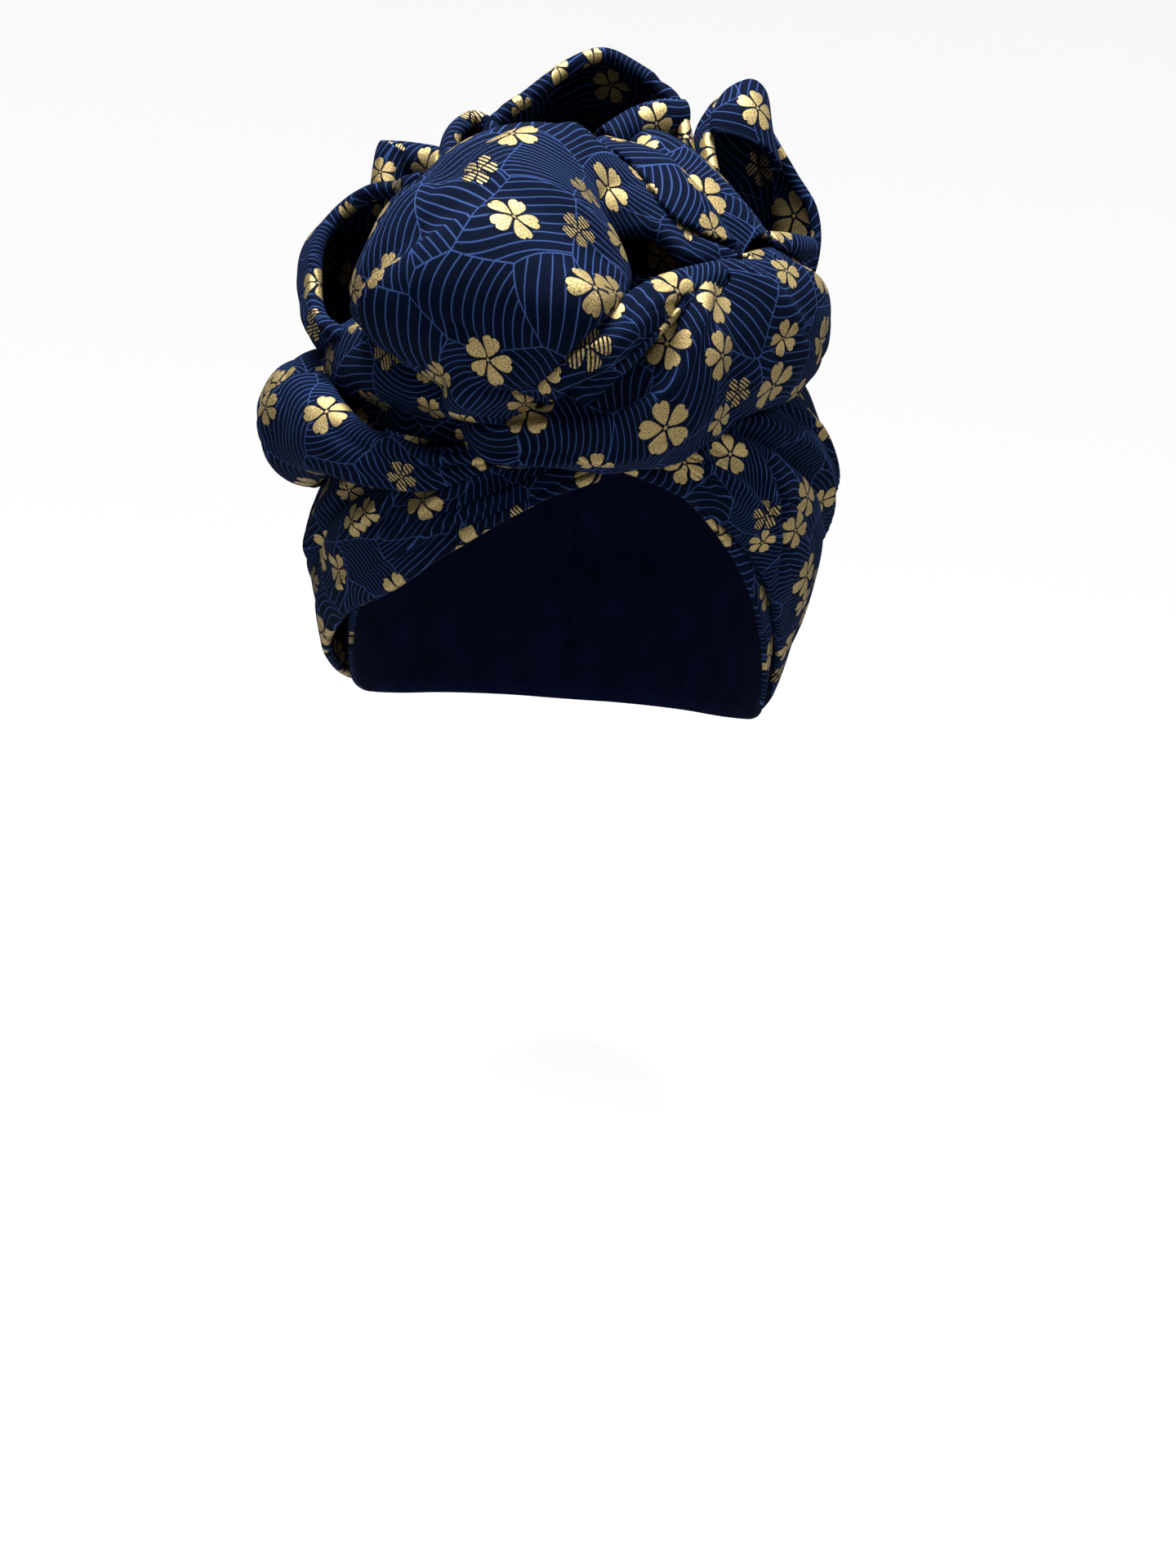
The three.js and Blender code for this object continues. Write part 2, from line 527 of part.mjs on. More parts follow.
// The pointed end of the cloth at the right, cupped, with its tip folded forwards.
const rightEar = petal([
  { fx: 46, fy: -64, fz: -30, cx: 58, cy: -32, cz: -32, tx: 66, ty: -34, tz: -28 },
  { fx: 44, fy: -65, fz: -12, cx: 61, cy: -29, cz: -13, tx: 71, ty: -33, tz: -10 },
  { fx: 42, fy: -65, fz: 6, cx: 62, cy: -26, cz: 5, tx: 76, ty: -33, tz: 10 },
  { fx: 39, fy: -61, fz: 22, cx: 58, cy: -26, cz: 22, tx: 74, ty: -33, tz: 24 },
  { fx: 36, fy: -52, fz: 38, cx: 52, cy: -26, cz: 38, tx: 66, ty: -34, tz: 35 },
  { fx: 38, fy: -45, fz: 48, cx: 48, cy: -30, cz: 49, tx: 57, ty: -38, tz: 46 },
  { fx: 42, fy: -42, fz: 54, cx: 48, cy: -34, cz: 55, tx: 54, ty: -38, tz: 53 },
  { fx: 46, fy: -40, fz: 57.5, cx: 49, cy: -38, cz: 58.5, tx: 52, ty: -39, tz: 57.5 },
], 13, 5);

const earTip = fold([
  { fx: 45, fy: -41, fz: 57.5, tx: 52, ty: -40, tz: 57.5, bulge: 1.5 },
  { fx: 41, fy: -45, fz: 53.5, tx: 54, ty: -41, tz: 53.5, bulge: 4 },
  { fx: 38, fy: -52, fz: 46, tx: 56, ty: -45, tz: 43, bulge: 5 },
  { fx: 38, fy: -55, fz: 40, tx: 60, ty: -46, tz: 33, bulge: 4 },
], 8, 5);

const earCurl = roll([
  { x: 46, y: -72, z: 9, wide: 6, yaw: 20, pitch: 40 },
  { x: 55, y: -66, z: 9, wide: 9, yaw: 30, pitch: 40 },
  { x: 66, y: -56, z: 11, wide: 9, yaw: 40, pitch: 40 },
  { x: 74, y: -44, z: 13, wide: 6, yaw: 50, pitch: 40 },
], 300, 8, 6);

// The turban, each piece trimmed where the ones before it lie over it.
const LAID = [
  ["left_wrap", leftWrap],
  ["right_wrap", rightWrap],
  ["twist_front", twistFront],
  ["twist_behind", twistBehind],
  ["big_petal", bigPetal],
  ["brow_band", browBand],
  ["left_roll", leftRoll],
  ["left_fold", leftFold],
  ["ridge_near", ridgeNear],
  ["ridge_far", ridgeFar],
  ["loop_curl", loopCurl],
  ["back_loop", backLoop],
  ["peak_hood", peakHood],
  ["left_loop", leftLoop],
  ["left_peak", leftPeak],
  ["ear_tip", earTip],
  ["ear_curl", earCurl],
  ["right_ear", rightEar],
];

// A named mesh from a solid.
function meshOf(name, solid) {
  const { vertProperties, triVerts } = solid.getMesh();
  const geometry = new THREE.BufferGeometry();
  geometry.setAttribute("position", new THREE.BufferAttribute(new Float32Array(vertProperties), 3));
  geometry.setIndex(new THREE.BufferAttribute(new Uint32Array(triVerts), 1));
  geometry.computeVertexNormals();
  const mesh = new THREE.Mesh(geometry, new THREE.MeshStandardMaterial(PRINT));
  mesh.name = name;
  return mesh;
}

const turban = new THREE.Group();
turban.add(meshOf("crown_cap", capWall()));
let taken = capRoom();
for (const [name, piece] of LAID) {
  turban.add(meshOf(name, largest(wall(piece).subtract(taken).simplify(LAY_GAP / 2))));
  taken = taken.add(room(piece));
}

export default turban;
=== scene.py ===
import math

import bmesh
import bpy
import numpy as np
from mathutils import Matrix, Vector, noise
from mathutils.bvhtree import BVHTree


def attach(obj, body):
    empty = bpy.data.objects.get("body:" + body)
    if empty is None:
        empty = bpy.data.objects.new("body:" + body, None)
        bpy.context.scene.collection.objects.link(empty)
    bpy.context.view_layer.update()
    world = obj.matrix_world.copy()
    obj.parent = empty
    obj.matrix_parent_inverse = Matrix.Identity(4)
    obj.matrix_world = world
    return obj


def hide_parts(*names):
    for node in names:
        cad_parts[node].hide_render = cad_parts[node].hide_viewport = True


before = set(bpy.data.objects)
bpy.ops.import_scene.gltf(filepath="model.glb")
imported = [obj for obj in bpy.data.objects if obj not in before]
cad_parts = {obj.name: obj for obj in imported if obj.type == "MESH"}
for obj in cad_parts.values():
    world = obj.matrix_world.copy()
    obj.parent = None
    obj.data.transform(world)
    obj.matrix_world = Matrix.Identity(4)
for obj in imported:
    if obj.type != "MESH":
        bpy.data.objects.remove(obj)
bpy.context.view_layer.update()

bpy.ops.object.select_all(action="DESELECT")


# Camera
# 45 cm in front of the turban's middle and 7 cm below the crown, tipped down and turned slightly.
# The lens and the side of the picture are in millimetres.
CAMERA_AT = Vector((0.014, -0.451, -0.073))
CAMERA_DOWN = math.radians(13.4)
CAMERA_TURN = math.radians(4.2)
LENS = 27.04
PHOTO_SIDE = 36.0

camera_data = bpy.data.cameras.new("camera")
camera_data.sensor_fit = "VERTICAL"
camera_data.sensor_height = PHOTO_SIDE
camera_data.lens = LENS
camera_data.clip_start = 0.01
camera = bpy.data.objects.new("camera", camera_data)
camera.matrix_world = (
    Matrix.Translation(CAMERA_AT)
    @ Matrix.Rotation(math.pi / 2 - CAMERA_DOWN, 4, "X")
    @ Matrix.Rotation(CAMERA_TURN, 4, "Z")
)
bpy.context.collection.objects.link(camera)
bpy.context.scene.camera = camera


# Printed cotton
# Dark navy cotton of medium weight, printed with fine blue wave lines and, over them,
# cherry blossoms in gold foil. The cloth is the same through the whole turban.
GROUND = (0.0006, 0.0019, 0.0088, 1)
GROUND_WORN = (0.0015, 0.0056, 0.0205, 1)
WAVE_BLUE = (0.033, 0.068, 0.205, 1)
GOLD = (0.15, 0.11, 0.042, 1)
GOLD_PALE = (0.70, 0.54, 0.25, 1)
WRONG_SIDE = (0.006, 0.010, 0.045, 1)


NODE_SETTINGS = ("feature", "voronoi_dimensions", "noise_dimensions")


class Nodes:
    """Makes the nodes of one tree, and links them as they are made."""

    def __init__(self, tree):
        self.tree = tree

    def add(self, kind, **settings):
        node = self.tree.nodes.new(kind)
        for name, value in settings.items():
            setattr(node, name, value)
        return node

    def feed(self, socket, value):
        if isinstance(value, bpy.types.NodeSocket):
            self.tree.links.new(value, socket)
        else:
            socket.default_value = value

    def math(self, operation, *values, clamp=False):
        node = self.add("ShaderNodeMath", operation=operation, use_clamp=clamp)
        for socket, value in zip(node.inputs, values):
            self.feed(socket, value)
        return node.outputs[0]

    def vector(self, operation, *values, scale=None):
        node = self.add("ShaderNodeVectorMath", operation=operation)
        for socket, value in zip(node.inputs, values):
            self.feed(socket, value)
        if scale is not None:
            self.feed(node.inputs["Scale"], scale)
        return node.outputs["Value" if operation in ("LENGTH", "DISTANCE") else "Vector"]

    def texture(self, kind, vector, **inputs):
        settings = {name: inputs.pop(name) for name in NODE_SETTINGS if name in inputs}
        node = self.add(kind, **settings)
        self.feed(node.inputs["Vector"], vector)
        for name, value in inputs.items():
            self.feed(node.inputs[name.replace("_", " ")], value)
        return node

    def below(self, value, limit, soft):
        """1 where value is under limit and 0 where it is over, with a soft step between."""
        over = self.math("DIVIDE", self.math("SUBTRACT", value, limit), soft)
        return self.math("SUBTRACT", 0.5, over, clamp=True)

    def mix(self, share, a, b):
        node = self.add("ShaderNodeMix", data_type="RGBA")
        self.feed(node.inputs["Factor"], share)
        self.feed(node.inputs["A"], a)
        self.feed(node.inputs["B"], b)
        return node.outputs["Result"]


def effect(name, inputs, outputs):
    """A node group with these named inputs and outputs, its maker of nodes, and its two ends."""
    group = bpy.data.node_groups.new(name, "ShaderNodeTree")
    for label, kind, value in inputs:
        socket = group.interface.new_socket(label, in_out="INPUT", socket_type=kind)
        if value is not None:
            socket.default_value = value
    for label, kind in outputs:
        group.interface.new_socket(label, in_out="OUTPUT", socket_type=kind)
    make = Nodes(group)
    start = group.nodes.new("NodeGroupInput")
    end = group.nodes.new("NodeGroupOutput")
    return group, make, start.outputs, end.inputs


# Wave lines: patches of arcs, each patch with a centre of its own, and a line round every patch.
# The cloth's places drift a little, so that no line is straight.
DRIFT_DENSITY = 21.0
DRIFT_REACH = 0.021
ARC_NEAREST = 0.018
ARC_SPREAD = 0.040
PITCH_LEAST = 0.8
PITCH_SPREAD = 0.45
LINE_SOFTNESS = 0.0002
MIDDLE_OF_NOISE = (0.5, 0.5, 0.5)
waves, n, given, out = effect(
    "wave lines",
    [
        ("Cloth", "NodeSocketVector", None),
        ("Patch", "NodeSocketFloat", 0.022),
        ("Pitch", "NodeSocketFloat", 0.0021),
        ("Line", "NodeSocketFloat", 0.00028),
    ],
    [("Mask", "NodeSocketFloat")],
)
drift = n.texture(
    "ShaderNodeTexNoise", given["Cloth"], noise_dimensions="2D", Scale=DRIFT_DENSITY, Detail=0.6
)
drift = n.vector("SUBTRACT", drift.outputs["Color"], MIDDLE_OF_NOISE)
drift = n.vector("SCALE", drift, scale=DRIFT_REACH)
drawn = n.vector("ADD", given["Cloth"], drift)
density = n.math("DIVIDE", 1.0, given["Patch"])
patch = n.texture("ShaderNodeTexVoronoi", drawn, voronoi_dimensions="2D", Scale=density, Randomness=1.0)
edge = n.texture(
    "ShaderNodeTexVoronoi",
    drawn,
    voronoi_dimensions="2D",
    feature="DISTANCE_TO_EDGE",
    Scale=density,
    Randomness=1.0,
)
chance = n.add("ShaderNodeSeparateColor")
n.feed(chance.inputs[0], patch.outputs["Color"])
turn = n.math("MULTIPLY", chance.outputs[0], 2 * math.pi)
reach = n.math("MULTIPLY_ADD", chance.outputs[1], ARC_SPREAD, ARC_NEAREST)
aside = n.add("ShaderNodeCombineXYZ")
n.feed(aside.inputs["X"], n.math("MULTIPLY", n.math("COSINE", turn), reach))
n.feed(aside.inputs["Y"], n.math("MULTIPLY", n.math("SINE", turn), reach))
centre = n.vector("ADD", patch.outputs["Position"], aside.outputs[0])
pitch = n.math("MULTIPLY_ADD", chance.outputs[2], PITCH_SPREAD, PITCH_LEAST)
pitch = n.math("MULTIPLY", given["Pitch"], pitch)
ring = n.math("DIVIDE", n.vector("DISTANCE", drawn, centre), pitch)
off_ring = n.math("MULTIPLY", n.math("PINGPONG", ring, 0.5), pitch)
half = n.math("MULTIPLY", given["Line"], 0.5)
arcs = n.below(off_ring, half, LINE_SOFTNESS)
border = n.below(n.math("MULTIPLY", edge.outputs["Distance"], given["Patch"]), half, LINE_SOFTNESS)
n.feed(out["Mask"], n.math("MAXIMUM", arcs, border))

# Blossoms: five notched petals round a small eye, one blossom in each cell, turned by chance.
# A petal's lengths are shares of the blossom's radius.
SCATTER = 0.8
PETAL_TURN = math.pi / 5
PETAL_MIDDLE = 0.57
PETAL_HALF_LENGTH = 0.43
PETAL_FOOT = 0.085
PETAL_SPREAD = 0.38
NOTCH_AT = 0.90
NOTCH_SLOPE = -0.9
EYE = 0.07
PETAL_SOFTNESS = 0.045
MARGIN = 0.085
MARGIN_SOFTNESS = 0.06
STRIPE_PITCH = 0.0014
STRIPE_SHARE = 0.27
STRIPE_SOFTNESS = 0.12
EYE_SOFTNESS = 0.04
SIZE_LEAST = 0.85
SIZE_SPREAD = 0.25
SHUFFLE = 7.31
blossoms, n, given, out = effect(
    "blossoms",
    [
        ("Cloth", "NodeSocketVector", None),
        ("Spacing", "NodeSocketFloat", 0.029),
        ("Radius", "NodeSocketFloat", 0.0073),
        ("Share", "NodeSocketFloat", 1.0),
        ("Hatched", "NodeSocketFloat", 0.0),
    ],
    [
        ("Mask", "NodeSocketFloat"),
        ("Margin", "NodeSocketFloat"),
        ("Centre", "NodeSocketVector"),
        ("Out", "NodeSocketFloat"),
    ],
)
density = n.math("DIVIDE", 1.0, given["Spacing"])
cell = n.texture(
    "ShaderNodeTexVoronoi", given["Cloth"], voronoi_dimensions="2D", Scale=density, Randomness=SCATTER
)
chance = n.add("ShaderNodeSeparateColor")
n.feed(chance.inputs[0], cell.outputs["Color"])
from_centre = n.vector("SUBTRACT", given["Cloth"], cell.outputs["Position"])
flat = n.add("ShaderNodeSeparateXYZ")
n.feed(flat.inputs[0], from_centre)
size = n.math("MULTIPLY_ADD", chance.outputs[2], SIZE_SPREAD, SIZE_LEAST)
size = n.math("MULTIPLY", given["Radius"], size)
radius = n.math("DIVIDE", n.vector("LENGTH", from_centre), size)
angle = n.math("ARCTAN2", flat.outputs["Y"], flat.outputs["X"])
angle = n.math("ADD", angle, n.math("MULTIPLY", chance.outputs[0], 2 * math.pi))
angle = n.math("WRAP", angle, PETAL_TURN, -PETAL_TURN)
along = n.math("MULTIPLY", radius, n.math("COSINE", angle))
across = n.math("ABSOLUTE", n.math("MULTIPLY", radius, n.math("SINE", angle)))
middle = n.math("DIVIDE", n.math("SUBTRACT", along, PETAL_MIDDLE), PETAL_HALF_LENGTH)
bow = n.math("SUBTRACT", 1.0, n.math("MULTIPLY", middle, middle))
bow = n.math("SQRT", n.math("MAXIMUM", bow, 0.0))
half_wide = n.math("MULTIPLY", bow, n.math("MULTIPLY_ADD", along, PETAL_SPREAD, PETAL_FOOT))
beside = n.math("SUBTRACT", across, half_wide)
beyond = n.math("SUBTRACT", n.math("MULTIPLY_ADD", across, NOTCH_SLOPE, along), NOTCH_AT)
off_petal = n.math("MAXIMUM", beside, beyond)
eye = n.below(radius, EYE, EYE_SOFTNESS)
petals = n.math("MAXIMUM", n.below(off_petal, 0.0, PETAL_SOFTNESS), eye)
lot = n.math("FRACT", n.math("MULTIPLY", chance.outputs[2], SHUFFLE))
kept = n.math("LESS_THAN", lot, given["Share"])
n.feed(out["Margin"], n.math("MULTIPLY", n.below(off_petal, MARGIN, MARGIN_SOFTNESS), kept))
slant = n.math("ADD", flat.outputs["X"], flat.outputs["Y"])
stripes = n.math("PINGPONG", n.math("DIVIDE", slant, STRIPE_PITCH), 0.5)
stripes = n.below(stripes, STRIPE_SHARE, STRIPE_SOFTNESS)
hatched = n.math("LESS_THAN", chance.outputs[1], given["Hatched"])
plain = n.math("MULTIPLY", hatched, n.math("SUBTRACT", 1.0, stripes))
petals = n.math("MULTIPLY", petals, n.math("SUBTRACT", 1.0, plain))
n.feed(out["Mask"], n.math("MULTIPLY", petals, kept))
n.feed(out["Centre"], cell.outputs["Position"])
n.feed(out["Out"], cell.outputs["Distance"])

# Weave: warp and weft threads, as a height, and the flecks of the yarn.
FLECK_DENSITY = 2500.0
weave, n, given, out = effect(
    "weave",
    [("Cloth", "NodeSocketVector", None), ("Thread", "NodeSocketFloat", 0.0005)],
    [("Height", "NodeSocketFloat"), ("Fleck", "NodeSocketFloat")],
)
flat = n.add("ShaderNodeSeparateXYZ")
n.feed(flat.inputs[0], n.vector("DIVIDE", given["Cloth"], given["Thread"]))
warp = n.math("SINE", n.math("MULTIPLY", flat.outputs["X"], 2 * math.pi))
weft = n.math("SINE", n.math("MULTIPLY", flat.outputs["Y"], 2 * math.pi))
n.feed(out["Height"], n.math("MULTIPLY_ADD", n.math("MULTIPLY", warp, weft), 0.5, 0.5))
speck = n.texture(
    "ShaderNodeTexNoise", given["Cloth"], noise_dimensions="2D", Scale=FLECK_DENSITY, Detail=2.0
)
n.feed(out["Fleck"], speck.outputs["Fac"])


SMALL_SPACING = 0.0175
SMALL_RADIUS = 0.0052
SMALL_SHARE = 0.78
CLEAR_OF_LARGE = 0.46
MOTTLE_DENSITY = 60.0
CLOTH_ROUGHNESS = 0.85
FOIL_ROUGHNESS = 0.46
FOIL_METALLIC = 0.75
FOIL_HEIGHT = 0.6
WORN_OVER, WORN_SOFTNESS = 0.60, 0.10
WORN_LEFT, WORN_LOST = 0.8, 0.2
GLINT_OF_THREAD, GLINT_OF_FLECK, GLINT_LESS = 0.3, 2.8, -1.08


def cotton(name, printed):
    """The cotton with its print, or its plain wrong side."""
    material = bpy.data.materials.new(name)
    material.use_nodes = True
    n = Nodes(material.node_tree)
    shader = material.node_tree.nodes["Principled BSDF"]
    cloth = n.add("ShaderNodeUVMap", uv_map="cloth").outputs[0]
    threads = n.add("ShaderNodeGroup", node_tree=weave)
    n.feed(threads.inputs["Cloth"], cloth)
    mottle = n.texture(
        "ShaderNodeTexNoise", cloth, noise_dimensions="2D", Scale=MOTTLE_DENSITY, Detail=3.0
    ).outputs["Fac"]
    shader.inputs["Sheen Weight"].default_value = 0.012
    shader.inputs["Sheen Roughness"].default_value = 0.4
    shader.inputs["Sheen Tint"].default_value = (0.35, 0.45, 1.0, 1)
    shader.inputs["Specular IOR Level"].default_value = 0.035
    bump = n.add("ShaderNodeBump")
    bump.inputs["Strength"].default_value = 0.35
    bump.inputs["Distance"].default_value = 0.0002
    n.feed(shader.inputs["Normal"], bump.outputs[0])
    if not printed:
        n.feed(shader.inputs["Base Color"], n.mix(mottle, GROUND, WRONG_SIDE))
        shader.inputs["Roughness"].default_value = 0.9
        n.feed(bump.inputs["Height"], threads.outputs["Height"])
        return material
    lines = n.add("ShaderNodeGroup", node_tree=waves)
    n.feed(lines.inputs["Cloth"], cloth)
    large = n.add("ShaderNodeGroup", node_tree=blossoms)
    n.feed(large.inputs["Cloth"], cloth)
    small = n.add("ShaderNodeGroup", node_tree=blossoms)
    n.feed(small.inputs["Cloth"], cloth)
    small.inputs["Spacing"].default_value = SMALL_SPACING
    small.inputs["Radius"].default_value = SMALL_RADIUS
    small.inputs["Share"].default_value = SMALL_SHARE
    small.inputs["Hatched"].default_value = 0.5
    nearest_large = n.add("ShaderNodeGroup", node_tree=blossoms)
    n.feed(nearest_large.inputs["Cloth"], small.outputs["Centre"])
    clear = n.math("GREATER_THAN", nearest_large.outputs["Out"], CLEAR_OF_LARGE)
    foil = n.math("MAXIMUM", large.outputs["Mask"], n.math("MULTIPLY", small.outputs["Mask"], clear))
    small_margin = n.math("MULTIPLY", small.outputs["Margin"], clear)
    margin = n.math("MAXIMUM", large.outputs["Margin"], small_margin)
    whole = n.below(threads.outputs["Fleck"], WORN_OVER, WORN_SOFTNESS)
    foil = n.math("MULTIPLY", foil, n.math("MULTIPLY_ADD", whole, WORN_LOST, WORN_LEFT))
    wave = n.math("MULTIPLY", lines.outputs["Mask"], n.math("SUBTRACT", 1.0, margin))
    blue = n.mix(mottle, GROUND, GROUND_WORN)
    wave = n.math("MULTIPLY", wave, n.math("MULTIPLY_ADD", whole, WORN_LOST, WORN_LEFT))
    blue = n.mix(wave, blue, WAVE_BLUE)
    bright = n.math("MULTIPLY_ADD", threads.outputs["Height"], GLINT_OF_THREAD, GLINT_LESS)
    bright = n.math("MULTIPLY_ADD", threads.outputs["Fleck"], GLINT_OF_FLECK, bright, clamp=True)
    gold = n.mix(bright, GOLD, GOLD_PALE)
    n.feed(shader.inputs["Base Color"], n.mix(foil, blue, gold))
    n.feed(shader.inputs["Metallic"], n.math("MULTIPLY", foil, FOIL_METALLIC))
    roughness = n.math("MULTIPLY_ADD", foil, FOIL_ROUGHNESS - CLOTH_ROUGHNESS, CLOTH_ROUGHNESS)
    n.feed(shader.inputs["Roughness"], roughness)
    height = n.math("MULTIPLY_ADD", foil, FOIL_HEIGHT, threads.outputs["Height"])
    n.feed(bump.inputs["Height"], height)
    return material


print_side = cotton("printed_cotton", True)
wrong_side = cotton("cotton_wrong_side", False)


# Crown cap
# A soft cap of the cotton inside all the folds, high over the brow and low at the nape, cut as one
# bowl and hemmed. The wraps and the rose are sewn to it.
HEAD_HALF_WIDTH = 0.078
HEAD_HALF_DEPTH = 0.096
CROWN_DEPTH = 0.100
NAPE_TAPER = 0.1
SIDE_FULLNESS = 0.022
BROW_FULLNESS = 0.004
ROSE_HEIGHT = 0.100
MM = 0.001
CLOTH = 0.0016
LAY_GAP = 0.0004
TABLE_FULLNESS = 122
SPAN = (HEAD_HALF_WIDTH + SIDE_FULLNESS) / 100
REACH = (HEAD_HALF_DEPTH + BROW_FULLNESS) / 100
RISE = ROSE_HEIGHT / 100
DROP = CROWN_DEPTH / 100
FULL = (SIDE_FULLNESS + CROWN_DEPTH) / TABLE_FULLNESS


def table(keys, *rows):
    """Rows of a table with these column names."""
    return [dict(zip(keys.split(), row)) for row in rows]


CAP_HEM = table(
    "turn hem",
    (0, -56),
    (25, -64),
    (45, -86),
    (62, -112),
    (74, -136),
    (90, -150),
    (115, -157),
    (150, -161),
    (180, -163),
)


def eased(rows, column, u):
    """A column at the share u of the way down its table, on a smooth curve through the rows."""
    values = np.array([row[column] for row in rows], float)
    values = np.concatenate([[2 * values[0] - values[1]], values, [2 * values[-1] - values[-2]]])
    last = len(rows) - 1
    k = np.clip(np.floor(u * last).astype(int), 0, last - 1)
    t = u * last - k
    a, b, c, d = (values[k + step] for step in range(4))
    return 0.5 * (2 * b + (c - a) * t + (2 * a - 5 * b + 4 * c - d) * t**2 + (3 * (b - c) + d - a) * t**3)


def placed(rows, columns, u):
    """The point in the named columns, in hundredths of the turban's three lengths."""
    x, y, z = (eased(rows, column, u) for column in columns.split())
    return np.stack([x * SPAN, y * REACH, np.where(z > 0, z * RISE, z * DROP)], axis=-1)


def beside_head(turn, z, out):
    """The point out from the cap's inner surface, turned from the brow to the right, at a height."""
    below = -z / CROWN_DEPTH - 1
    girth = np.where(below > 0, 1 - NAPE_TAPER * below**2, np.sqrt(np.maximum(1 - below**2, 0)))
    angle = np.radians(turn)
    across = (HEAD_HALF_WIDTH * girth + out) * np.sin(angle)
    along = -(HEAD_HALF_DEPTH * girth + out) * np.cos(angle)
    return np.stack(np.broadcast_arrays(across, along, z), axis=-1)


def unit(vectors):
    return vectors / np.maximum(np.linalg.norm(vectors, axis=-1, keepdims=True), 1e-12)


def facing(points):
    """The way that a grid of points faces at each."""
    along = np.gradient(points, axis=0)
    across = np.gradient(points, axis=1)
    return unit(np.cross(along, across))


def lengths(points):
    """The mean length of a grid of points each way."""
    long = np.linalg.norm(np.diff(points, axis=0), axis=-1).sum(axis=0).mean()
    broad = np.linalg.norm(np.diff(points, axis=1), axis=-1).sum(axis=1).mean()
    return long, broad


# How fine the dents, streaks and creases are, in noise cells to the metre along and across the cloth.
DENT_GRAIN = 48
STREAK_ALONG, STREAK_ACROSS = 16, 70
CREASE_ALONG, CREASE_SLANT, CREASE_ACROSS = 11, 9, 42
CREASE_SHARPNESS = 5
DENT_HEIGHT = 0.8
STREAK_HEIGHT = 1.3


def crumpled(points, height, seed):
    """Small soft dents, and long creases that run with the cloth, over a grid of points."""
    long, broad = lengths(points)
    rows, columns = points.shape[:2]
    dents = np.zeros((rows, columns))
    for i in range(rows):
        for j in range(columns):
            at = Vector((i / rows * long, j / columns * broad, seed))
            dent = noise.noise(Vector((at.x * DENT_GRAIN, at.y * DENT_GRAIN, seed)))
            streak = noise.noise(Vector((at.x * STREAK_ALONG, at.y * STREAK_ACROSS, seed)))
            slanted = at.x * CREASE_ALONG + at.y * CREASE_SLANT
            crease = noise.noise(Vector((slanted, at.y * CREASE_ACROSS, -seed)))
            sharp = max(0.0, 1 - CREASE_SHARPNESS * abs(crease)) ** 2
            dents[i, j] = DENT_HEIGHT * dent + STREAK_HEIGHT * streak - STREAK_HEIGHT * sharp
    return points + facing(points) * (height * dents)[..., None]


PLEAT_FADE = 0.6
FLAT_BEYOND = 9


def pleated(points, pleats):
    """Ridges and creases along straight lines over the cloth; one with a lean is steep on one side."""
    long, broad = lengths(points)
    u = np.linspace(0, 1, points.shape[0])[:, None] * long
    v = np.linspace(0, 1, points.shape[1])[None, :] * broad
    height = np.zeros(points.shape[:2])
    for pleat in pleats:
        start = np.array([pleat["u0"] * long, pleat["v0"] * broad])
        run = np.array([pleat["u1"] * long, pleat["v1"] * broad]) - start
        length = np.linalg.norm(run)
        along = ((u - start[0]) * run[0] + (v - start[1]) * run[1]) / length**2
        off = ((u - start[0]) * run[1] - (v - start[1]) * run[0]) / length
        fade = np.sin(np.pi * np.clip(along, 0, 1)) ** PLEAT_FADE
        wide = np.where(off > 0, pleat["wide"], pleat["wide"] * pleat.get("lean", 1)) * MM
        height += pleat["high"] * MM * fade / np.cosh(np.clip(off / wide, -FLAT_BEYOND, FLAT_BEYOND)) ** 2
    return points + facing(points) * height[..., None]


HEM_START, HEM_END, HEM_STEPS = 25, 200, 8


def turned_edges(points, first, last):
    """The cloth's two long edges rolled under, each to the radius given for it."""
    out = facing(points)
    angles = np.radians(np.linspace(HEM_START, HEM_END, HEM_STEPS))
    rolled = points
    if last > 0:
        away = unit(points[:, -1] - points[:, -2])
        roll = [
            points[:, -1] + last * (np.sin(a) * away - (1 - np.cos(a)) * out[:, -1]) for a in angles
        ]
        rolled = np.concatenate([rolled, np.stack(roll, axis=1)], axis=1)
    if first > 0:
        away = unit(points[:, 0] - points[:, 1])
        roll = [
            points[:, 0] + first * (np.sin(a) * away - (1 - np.cos(a)) * out[:, 0]) for a in angles[::-1]
        ]
        rolled = np.concatenate([np.stack(roll, axis=1), rolled], axis=1)
    return rolled


taken = []
PAST_EDGE = 0.02
ROOM_ROWS, ROOM_COLUMNS = 41, 15


def take_room(point):
    """Keeps the space that a fold and the hollow behind it fill, so that later folds stop at it."""
    u = np.concatenate([[-PAST_EDGE], np.linspace(0, 1, ROOM_ROWS), [1 + PAST_EDGE]])[:, None]
    v = np.concatenate([[-PAST_EDGE], np.linspace(0, 1, ROOM_COLUMNS), [1 + PAST_EDGE]])[None, :]
    points = point(u, v)
    out = facing(points) * (CLOTH / 2 + LAY_GAP)
    rings = np.concatenate([points + out, (points - out)[:, -1:], (points - out)[:, :1]], axis=1)
    rows, ring = rings.shape[:2]
    corners = list(map(Vector, rings.reshape(-1, 3)))
    corners += [Vector(rings[0].mean(axis=0)), Vector(rings[-1].mean(axis=0))]
    faces = []
    for i in range(rows - 1):
        for j in range(ring):
            a, b = i * ring + j, i * ring + (j + 1) % ring
            faces += [(a, a + ring, b + ring), (a, b + ring, b)]
    for j in range(ring):
        k = (j + 1) % ring
        end = (rows - 1) * ring
        faces += [(j, k, rows * ring), (end + k, end + j, rows * ring + 1)]
    taken.append(BVHTree.FromPolygons(corners, faces))


